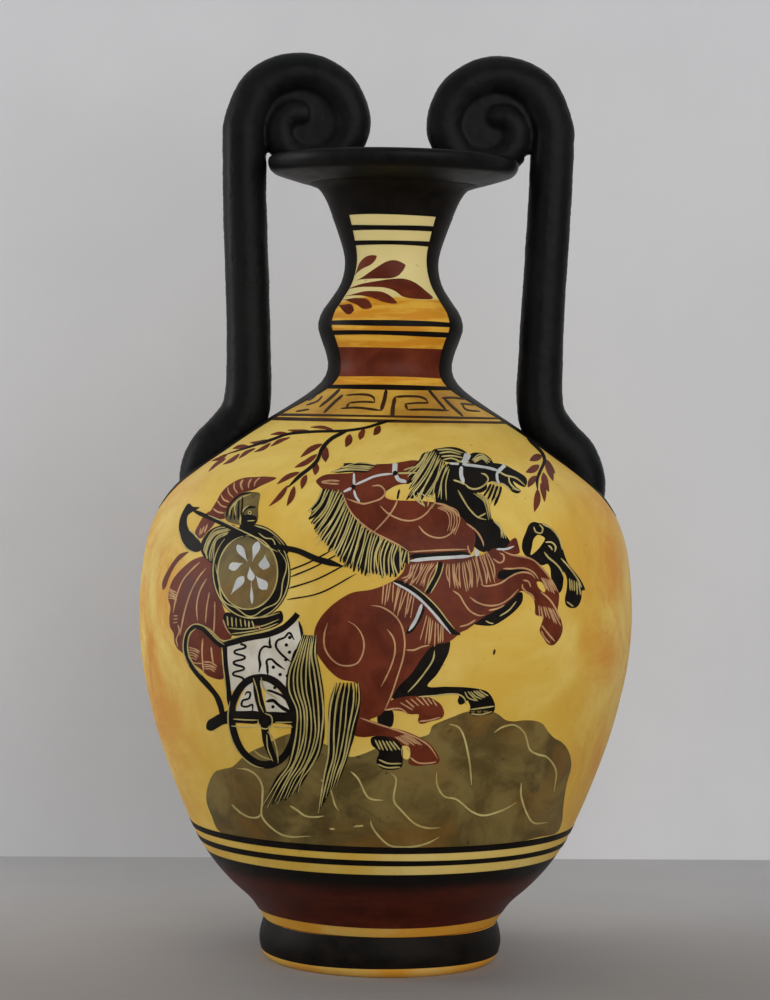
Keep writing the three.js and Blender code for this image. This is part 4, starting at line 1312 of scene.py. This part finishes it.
def helmet(maroon, rose, olive, black, cream):
    """The driver's crest and helmet, with the marks of the face."""
    maroon.area(((-37.1, 159.0), (-40.4, 159.4), (-43.9, 159.2), (-47.4, 158.9), (-50.1, 158.0),
                 (-53.3, 155.9), (-55.4, 153.5), (-56.7, 151.1), (-58.1, 148.7), (-59.2, 146.6),
                 (-56.6, 145.2), (-54.2, 145.2), (-53.0, 147.7), (-52.1, 149.8), (-50.4, 152.2),
                 (-48.0, 154.0), (-44.8, 154.9), (-42.1, 156.4), (-39.3, 157.7)), OVER)
    rose.comb((((-54.0, 147.0), (-52.0, 151.4), (-48.4, 154.6), (-44.4, 156.0)),
               ((-56.2, 147.2), (-54.2, 152.4), (-49.8, 156.0), (-44.0, 157.6)),
               ((-57.6, 148.2), (-55.6, 153.0), (-50.4, 157.6), (-42.2, 159.0))), 8, 0.5)
    olive.area(((-54.2, 146.6), (-53.0, 148.6), (-52.1, 150.5), (-50.1, 152.6), (-47.4, 154.1),
                (-44.6, 154.2), (-42.5, 153.8), (-42.7, 151.3), (-43.0, 149.2), (-43.3, 144.3),
                (-45.4, 143.4), (-48.5, 143.2), (-51.2, 143.6), (-53.4, 144.6)), OVER_TWICE)
    black.stroke(((-53.4, 145.6), (-52.9, 148.6), (-51.1, 151.3), (-48.7, 153.2), (-45.2, 154.1)), 0.6)
    cream.stroke(((-52.4, 146.2), (-52.0, 148.4), (-50.4, 150.6), (-48.2, 152.4), (-45.4, 153.4)), 0.4)
    black.stroke(((-48.2, 146.4), (-47.5, 148.2), (-46.2, 149.0), (-43.6, 149.2)), 0.8)
    black.area(((-48.3, 146.2), (-43.5, 146.0), (-43.6, 143.9), (-46.0, 143.2), (-48.2, 143.2)), LINE)
    cream.stroke(((-48.8, 143.4), (-48.6, 145.8), (-47.6, 148.4), (-46.0, 149.6)), 0.45)
    cream.dot((-45.7, 147.3), 0.65, LINE)
    black.dot((-45.7, 147.3), 0.32, TOUCH)
    cream.stroke(((-46.4, 144.5), (-43.9, 144.7)), 0.32, TOUCH)
    for drop in (0.0, 1.1, 2.3, 3.5):
        black.stroke(((-51.6 + drop, 149.8 + drop * 0.8), (-51.8 + drop, 147.0), (-52.0 + drop * 1.1, 144.8)),
                     0.5)
    cream.stroke(((-49.9, 151.4), (-50.6, 149.2), (-50.4, 146.2)), 0.35, TOUCH)


def shield(black, olive, cream, white):
    """The round shield, with its rim and petals."""
    centre = (-44.9, 127.4)
    face = (-46.0, 127.4)
    black.oval(centre, (13.1, 15.7), 4, OVER_TWICE)
    olive.oval(face, (9.6, 11.9), 0, LINE)
    cream.stroke(ellipse(face, (9.9, 12.2), 0, 40, 100, 455), 0.45, TOUCH)
    cream.stroke(ellipse(centre, (12.6, 15.2), 4, 40, 130, 410), 0.4, TOUCH)
    turn = np.radians(np.linspace(170, 400, 26))
    wave = 1 + 0.05 * np.sin(7 * turn)
    cream.stroke(np.column_stack([centre[0] + 11.4 * wave * np.cos(turn),
                                  centre[1] + 13.9 * wave * np.sin(turn)]),
                 0.4, TOUCH)
    petals = (((-46.2, 131.1), (-49.6, 136.6), 2.5), ((-44.5, 131.2), (-42.7, 137.8), 2.5),
              ((-47.6, 130.5), (-52.3, 128.7), 3.0), ((-40.3, 133.4), (-40.7, 128.4), 3.6),
              ((-45.4, 129.3), (-44.6, 124.6), 2.4), ((-51.5, 120.0), (-47.3, 126.2), 2.7),
              ((-43.3, 126.3), (-39.6, 121.9), 3.4), ((-44.8, 124.4), (-44.4, 117.0), 0.95))
    for tip, end, width in petals:
        middle = (np.array(tip) + end) / 2
        white.stroke((tip, middle, end), width, TOUCH, "petal")


def goad(black, cream):
    """The long goad with a curled end behind the driver."""
    black.stroke(((-65.0, 148.0), (-62.9, 147.0), (-58.7, 145.3), (-54.5, 143.4), (-43.2, 138.9),
                  (-37.0, 136.2)),
                 1.5, TOUCH)
    black.stroke(((-38.0, 136.4), (-33.0, 135.6), (-29.5, 134.9), (-23.2, 132.3), (-19.7, 131.4),
                  (-14.4, 130.0)),
                 2.0, TOUCH)
    cream.stroke(((-59.4, 146.2), (-54.5, 144.2), (-49.0, 141.6), (-43.6, 139.0), (-39.8, 136.2),
                  (-36.0, 134.4)),
                 0.45, TOUCH + 0.04)
    black.area(((-66.0, 150.1), (-67.8, 147.6), (-69.0, 144.3), (-69.1, 140.9), (-68.0, 137.6),
                (-65.9, 134.9), (-63.4, 133.9), (-61.8, 134.6), (-61.9, 137.0), (-63.5, 139.1),
                (-65.4, 140.8), (-66.5, 143.0), (-66.3, 146.0), (-64.9, 147.2), (-62.4, 148.8),
                (-64.6, 149.0)), OVER)
    cream.stroke(((-69.2, 141.2), (-68.2, 137.6), (-66.2, 134.8), (-63.4, 133.6)), 0.4)
    cream.stroke(((-65.8, 141.4), (-63.9, 139.8), (-62.6, 138.2)), 0.45)


def chariot(black, white, cream):
    """The car with its white side, and the rail that loops behind it."""
    white.area(((-52.9, 103.7), (-47.3, 104.6), (-38.9, 106.3), (-33.4, 108.2), (-30.3, 110.8),
                (-28.9, 111.9), (-28.0, 109.2), (-27.4, 106.4), (-27.8, 103.3), (-29.8, 101.6), (-30.3, 97.6),
                (-31.7, 90.2), (-38.0, 89.0), (-46.0, 88.6), (-51.3, 87.8), (-52.2, 91.3), (-53.2, 98.0)),
               OVER, soft=False)
    rail = ((-53.9, 102.6), (-56.4, 104.4), (-58.7, 106.8), (-61.0, 108.7), (-63.5, 109.1), (-65.4, 107.2),
            (-66.3, 104.0), (-66.1, 100.2), (-64.4, 96.4), (-61.5, 92.5), (-58.3, 89.1), (-55.8, 86.0),
            (-54.4, 82.8), (-53.4, 79.6), (-51.0, 78.4))
    black.stroke(rail, 1.75, OVER_TWICE, "even")
    black.area(((-58.9, 75.0), (-58.6, 77.6), (-56.6, 79.0), (-54.6, 80.2), (-50.4, 81.4), (-50.2, 77.6),
                (-53.4, 76.6), (-55.4, 75.4), (-57.2, 74.4)), OVER_TWICE)
    cream.stroke(rail[:9], 0.35, LINE, side=-0.75)
    cream.stroke(rail[4:10], 0.35, LINE, side=0.75)
    top = ((-54.4, 102.9), (-50.4, 104.2), (-47.3, 105.2), (-39.0, 107.0), (-34.1, 109.0), (-31.0, 111.7),
           (-29.2, 113.9))
    black.stroke(top, 2.0, OVER_TWICE, "even")
    cream.stroke(top[:5], 0.4, LINE, side=1.1)
    cream.stroke(((-62.4, 110.2), (-58.4, 108.2), (-54.6, 104.8), (-52.6, 104.6)), 0.4, LINE)
    post = ((-53.4, 102.4), (-52.9, 96.5), (-52.2, 91.3), (-51.6, 86.0), (-50.4, 81.0))
    black.stroke(post, 1.7, OVER_TWICE, "even")
    cream.stroke(post[:4], 0.35, LINE, side=-0.8)
    black.stroke(((-28.8, 111.5), (-27.8, 108.0), (-27.6, 103.0), (-29.6, 101.6), (-31.0, 97.0),
                  (-31.8, 91.0)),
                 0.9, LINE)
    down = np.linspace(0, 1, 26)
    swing = np.sin(down * 6.6 * math.pi)
    serpent = np.column_stack([-48.1 - 0.6 * down + 1.9 * np.sign(swing) * np.abs(swing) ** 0.7,
                               103.6 - 12.0 * down])
    black.stroke(serpent, 0.7, LINE, "even")
    squiggles = (
        ((-38.3, 106.0), (-38.3, 103.5), (-37.9, 102.6), (-40.0, 102.9), (-41.3, 101.7), (-41.8, 99.2),
         (-41.4, 96.8), (-41.8, 94.3)),
        ((-30.2, 105.2), (-31.9, 107.6), (-33.4, 106.0), (-35.8, 104.9), (-36.3, 103.1), (-34.7, 100.7),
         (-31.1, 97.8)),
        ((-38.8, 93.3), (-39.0, 96.1), (-39.2, 98.2), (-37.8, 98.7), (-36.0, 97.2), (-33.2, 95.3)),
    )
    for line in squiggles:
        black.stroke(line, 0.75, LINE)
    for spot in ((-32.8, 103.5), (-31.7, 101.1), (-32.9, 98.6), (-31.7, 106.0), (-37.0, 96.0), (-34.7, 93.6),
                 (-32.3, 93.2)):
        black.dot(spot, 0.6, LINE)


def wheel(black, white, cream):
    """The wheel, and the parts of the white side that show between its spokes."""
    centre = (-40.1, 78.0)
    black_ring = ellipse(centre, (10.5, 14.7), 8, 30, 0, 360)
    black.stroke(np.vstack([black_ring, black_ring[:1]]), 2.4, LINE, "even")
    hub_low, hub_high = 77.2, 81.2
    white.area(((-48.9, 80.6), (-48.3, 84.0), (-46.8, 87.4), (-44.6, 89.8), (-43.2, 88.2), (-43.0, 84.6),
                (-41.6, 81.0)), OVER_TWICE)
    white.area(((-39.0, 90.6), (-36.0, 89.2), (-33.6, 86.0), (-31.6, 81.6), (-34.0, 80.9), (-38.8, 81.4),
                (-39.4, 86.0)), OVER_TWICE)
    black.stroke(((-46.3, 86.5), (-45.7, 87.5), (-44.6, 87.4), (-44.9, 85.5), (-47.0, 84.7), (-47.3, 83.0),
                  (-45.5, 82.7), (-43.8, 83.4), (-43.7, 80.9)), 0.7, LINE)
    black.stroke(((-39.0, 88.4), (-36.6, 87.7), (-33.8, 86.4), (-32.4, 85.0)), 0.8, LINE)
    black.stroke(((-39.3, 84.5), (-36.9, 84.9), (-35.1, 83.5), (-33.0, 82.1), (-31.0, 81.2)), 1.2, LINE)
    black.dot((-36.4, 89.2), 0.55, LINE)
    black.dot((-36.9, 82.8), 0.6, LINE)
    middle = (hub_low + hub_high) / 2
    black.stroke(((-51.2, middle), (-46.0, middle), (-41.0, middle)), hub_high - hub_low, LINE, "even")
    black.stroke(((-39.0, middle), (-34.0, middle), (-29.0, middle - 0.4)), hub_high - hub_low, LINE, "even")
    black.stroke(((-42.7, 92.6), (-42.0, 87.0), (-40.0, 79.6)), 2.4, LINE, "even")
    black.stroke(((-39.8, 77.0), (-38.8, 71.5), (-37.2, 67.2), (-35.6, 63.6)), 2.4, LINE, "even")
    black.dot((-39.3, 78.4), 2.4, LINE)
    for line in (((-50.0, 78.5), (-46.0, 78.3), (-42.0, 78.3)), ((-50.6, 76.2), (-46.0, 75.9), (-41.8, 76.2)),
                 ((-36.2, 77.6), (-33.0, 77.7), (-30.4, 77.8)), ((-36.6, 76.2), (-33.0, 75.9), (-30.2, 76.2)),
                 ((-39.6, 80.6), (-37.4, 79.6), (-37.2, 77.0), (-39.0, 75.4), (-41.4, 76.2), (-41.8, 78.6)),
                 ((-41.0, 92.6), (-40.2, 89.4), (-38.8, 87.6), (-35.4, 85.4)),
                 ((-43.6, 92.4), (-42.2, 88.0), (-41.2, 83.6), (-39.9, 80.8)),
                 ((-38.6, 74.6), (-36.6, 72.0), (-35.4, 68.4), (-34.8, 64.0)),
                 ((-38.8, 73.6), (-38.4, 69.0), (-36.6, 64.6)),
                 ((-43.0, 68.0), (-40.0, 66.0), (-36.6, 65.0))):
        cream.stroke(line, 0.38, TOUCH)
    cream.stroke(ellipse(centre, (11.6, 15.8), 8, 26, 150, 262), 0.4, TOUCH)


def paint():
    """All the painting, one coat for each paint. The neck and shoulder motifs repeat on the back."""
    black, key, maroon, foot_maroon, olive, ochre = (Coat() for _ in range(6))
    cream, rose, white, panel = (Coat() for _ in range(4))
    bands(black, maroon, foot_maroon, key)
    for half in (0.0, math.pi):
        for coat in (key, maroon, black):
            coat.turn = half
        meander(key)
        palmette(maroon)
        branches(maroon, black)
    for coat in (key, maroon, black):
        coat.turn = 0.0
    side_panels(black)
    key.stroke(((36.6, 103.3), (36.4, 102.4), (36.2, 101.4)), 0.6)
    rocks(olive, cream)
    far_horse(black, cream, white)
    far_legs(black, cream, ochre)
    near_horse(maroon, rose, ochre, black)
    charioteer(maroon, rose, black, cream)
    helmet(maroon, rose, olive, black, cream)
    shield(black, olive, cream, white)
    goad(black, cream)
    chariot(black, panel, cream)
    wheel(black, panel, cream)
    hair(black, cream, rose)
    harness(black, white, cream)
    black.build("paint_black", BLACK_PAINT, "black_slip")
    key.build("paint_key_pattern", BROWN, "black_slip")
    maroon.build("paint_maroon", MAROON, "maroon_slip")
    foot_maroon.build("paint_maroon_foot", FOOT_MAROON, "maroon_slip")
    olive.build("paint_olive", OLIVE, "olive_slip")
    ochre.build("paint_ochre", OCHRE, "ochre_slip")
    cream.build("paint_cream_lines", CREAM, "cream_line")
    rose.build("paint_rose_lines", ROSE, "cream_line")
    white.build("paint_white", WHITE, "white_slip")
    panel.build("paint_white_panel", PANEL_WHITE, "white_slip")


paint()

# ---------------------------------------------------------------- stage

AIM_HEIGHT = 152.35
CAMERA_ROLL = 1.0
LENS = 102.9


def camera():
    """The camera stands at the point that the drawing is laid out from."""
    data = bpy.data.cameras.new("camera")
    data.lens = LENS
    data.sensor_width = 36
    data.clip_start = 0.05
    thing = bpy.data.objects.new("camera", data)
    bpy.context.scene.collection.objects.link(thing)
    eye = Vector(VIEW_POINT) * MM
    target = Vector((VIEW_POINT[0], 0, AIM_HEIGHT)) * MM
    thing.location = eye
    turn = (target - eye).to_track_quat("-Z", "Y").to_euler()
    thing.rotation_euler = turn
    thing.rotation_euler.rotate_axis("Z", math.radians(CAMERA_ROLL))
    bpy.context.scene.camera = thing
    bpy.context.scene.view_settings.view_transform = "Standard"


def stage_material(name, color, near, grain):
    """A plain painted surface. Where near is darker than color, it carries painted shade that darkens it
    towards the viewer.
    """
    p = Paint(name, 0.7)
    tone_and_painted_shade = p.mix(p.band(p.noise(grain, 4, 0.6), 0.3, 0.7), tuple(0.96 * c for c in color), color)
    # Painted shade: the colour blends to the near colour towards the front, in place of the shade that falls
    # there.
    tone_and_painted_shade = p.mix(p.band(p.height("Y"), 0.15, -0.09), tone_and_painted_shade, near)
    return p.finish(tone_and_painted_shade, p.noise(grain * 20, 3, 0.6), 0.1, 0.0001)


def stage():
    """A floor with painted shade towards the front, and a plain wall behind it, set a little askew."""
    back = 210 * MM
    askew = 0.13
    wide = 1.6
    front = -0.75
    floor_verts = [(-wide, front, 0), (wide, front, 0), (wide, back + askew, 0), (-wide, back + askew, 0)]
    left, right = back - askew, back + askew
    wall_verts = [(-wide, left, -0.02), (wide, right, -0.02), (wide, right, 1.6), (-wide, left, 1.6)]
    for name, verts, material in (
        # The floor's second, darker colour is painted shade towards the front.
        ("floor", floor_verts, stage_material("floor_paint", (0.53, 0.52, 0.515), (0.34, 0.315, 0.295), 30)),
        ("wall", wall_verts, stage_material("wall_paint", (0.85, 0.85, 0.865), (0.85, 0.85, 0.865), 12)),
    ):
        mesh = bpy.data.meshes.new(name)
        mesh.from_pydata(verts, [], [(0, 1, 2, 3)])
        mesh.materials.append(material)
        thing = bpy.data.objects.new(name, mesh)
        bpy.context.scene.collection.objects.link(thing)


def area_light(name, at, target, size, power, color=(1, 1, 1)):
    """A rectangular light aimed at a point."""
    data = bpy.data.lights.new(name, "AREA")
    data.shape = "RECTANGLE"
    data.size, data.size_y = size
    data.energy = power
    data.color = color
    thing = bpy.data.objects.new(name, data)
    bpy.context.scene.collection.objects.link(thing)
    thing.location = at
    thing.rotation_euler = (Vector(target) - Vector(at)).to_track_quat("-Z", "Y").to_euler()


def lights():
    """Soft light from the right front, with weaker ones at the left, above and along the wall."""
    world = bpy.data.worlds.new("studio")
    world.use_nodes = True
    world.node_tree.nodes["Background"].inputs[0].default_value = (0.80, 0.88, 1, 1)
    world.node_tree.nodes["Background"].inputs[1].default_value = 0.27
    bpy.context.scene.world = world
    area_light("key", (0.5, -1.05, 0.5), (0, 0, 0.14), (1.3, 0.9), 7.4, (1, 0.97, 0.93))
    area_light("fill", (-0.75, -0.9, 0.45), (0, 0, 0.14), (0.8, 0.8), 0.7, (0.95, 0.98, 1))
    area_light("top", (0, -0.2, 1.3), (0, 0.1, 0.1), (1.2, 0.5), 1)
    area_light("wash", (-0.8, 0.02, 0.3), (-0.1, 0.2, 0.06), (0.3, 0.4), 2.1)


camera()
stage()
lights()
bpy.context.view_layer.update()
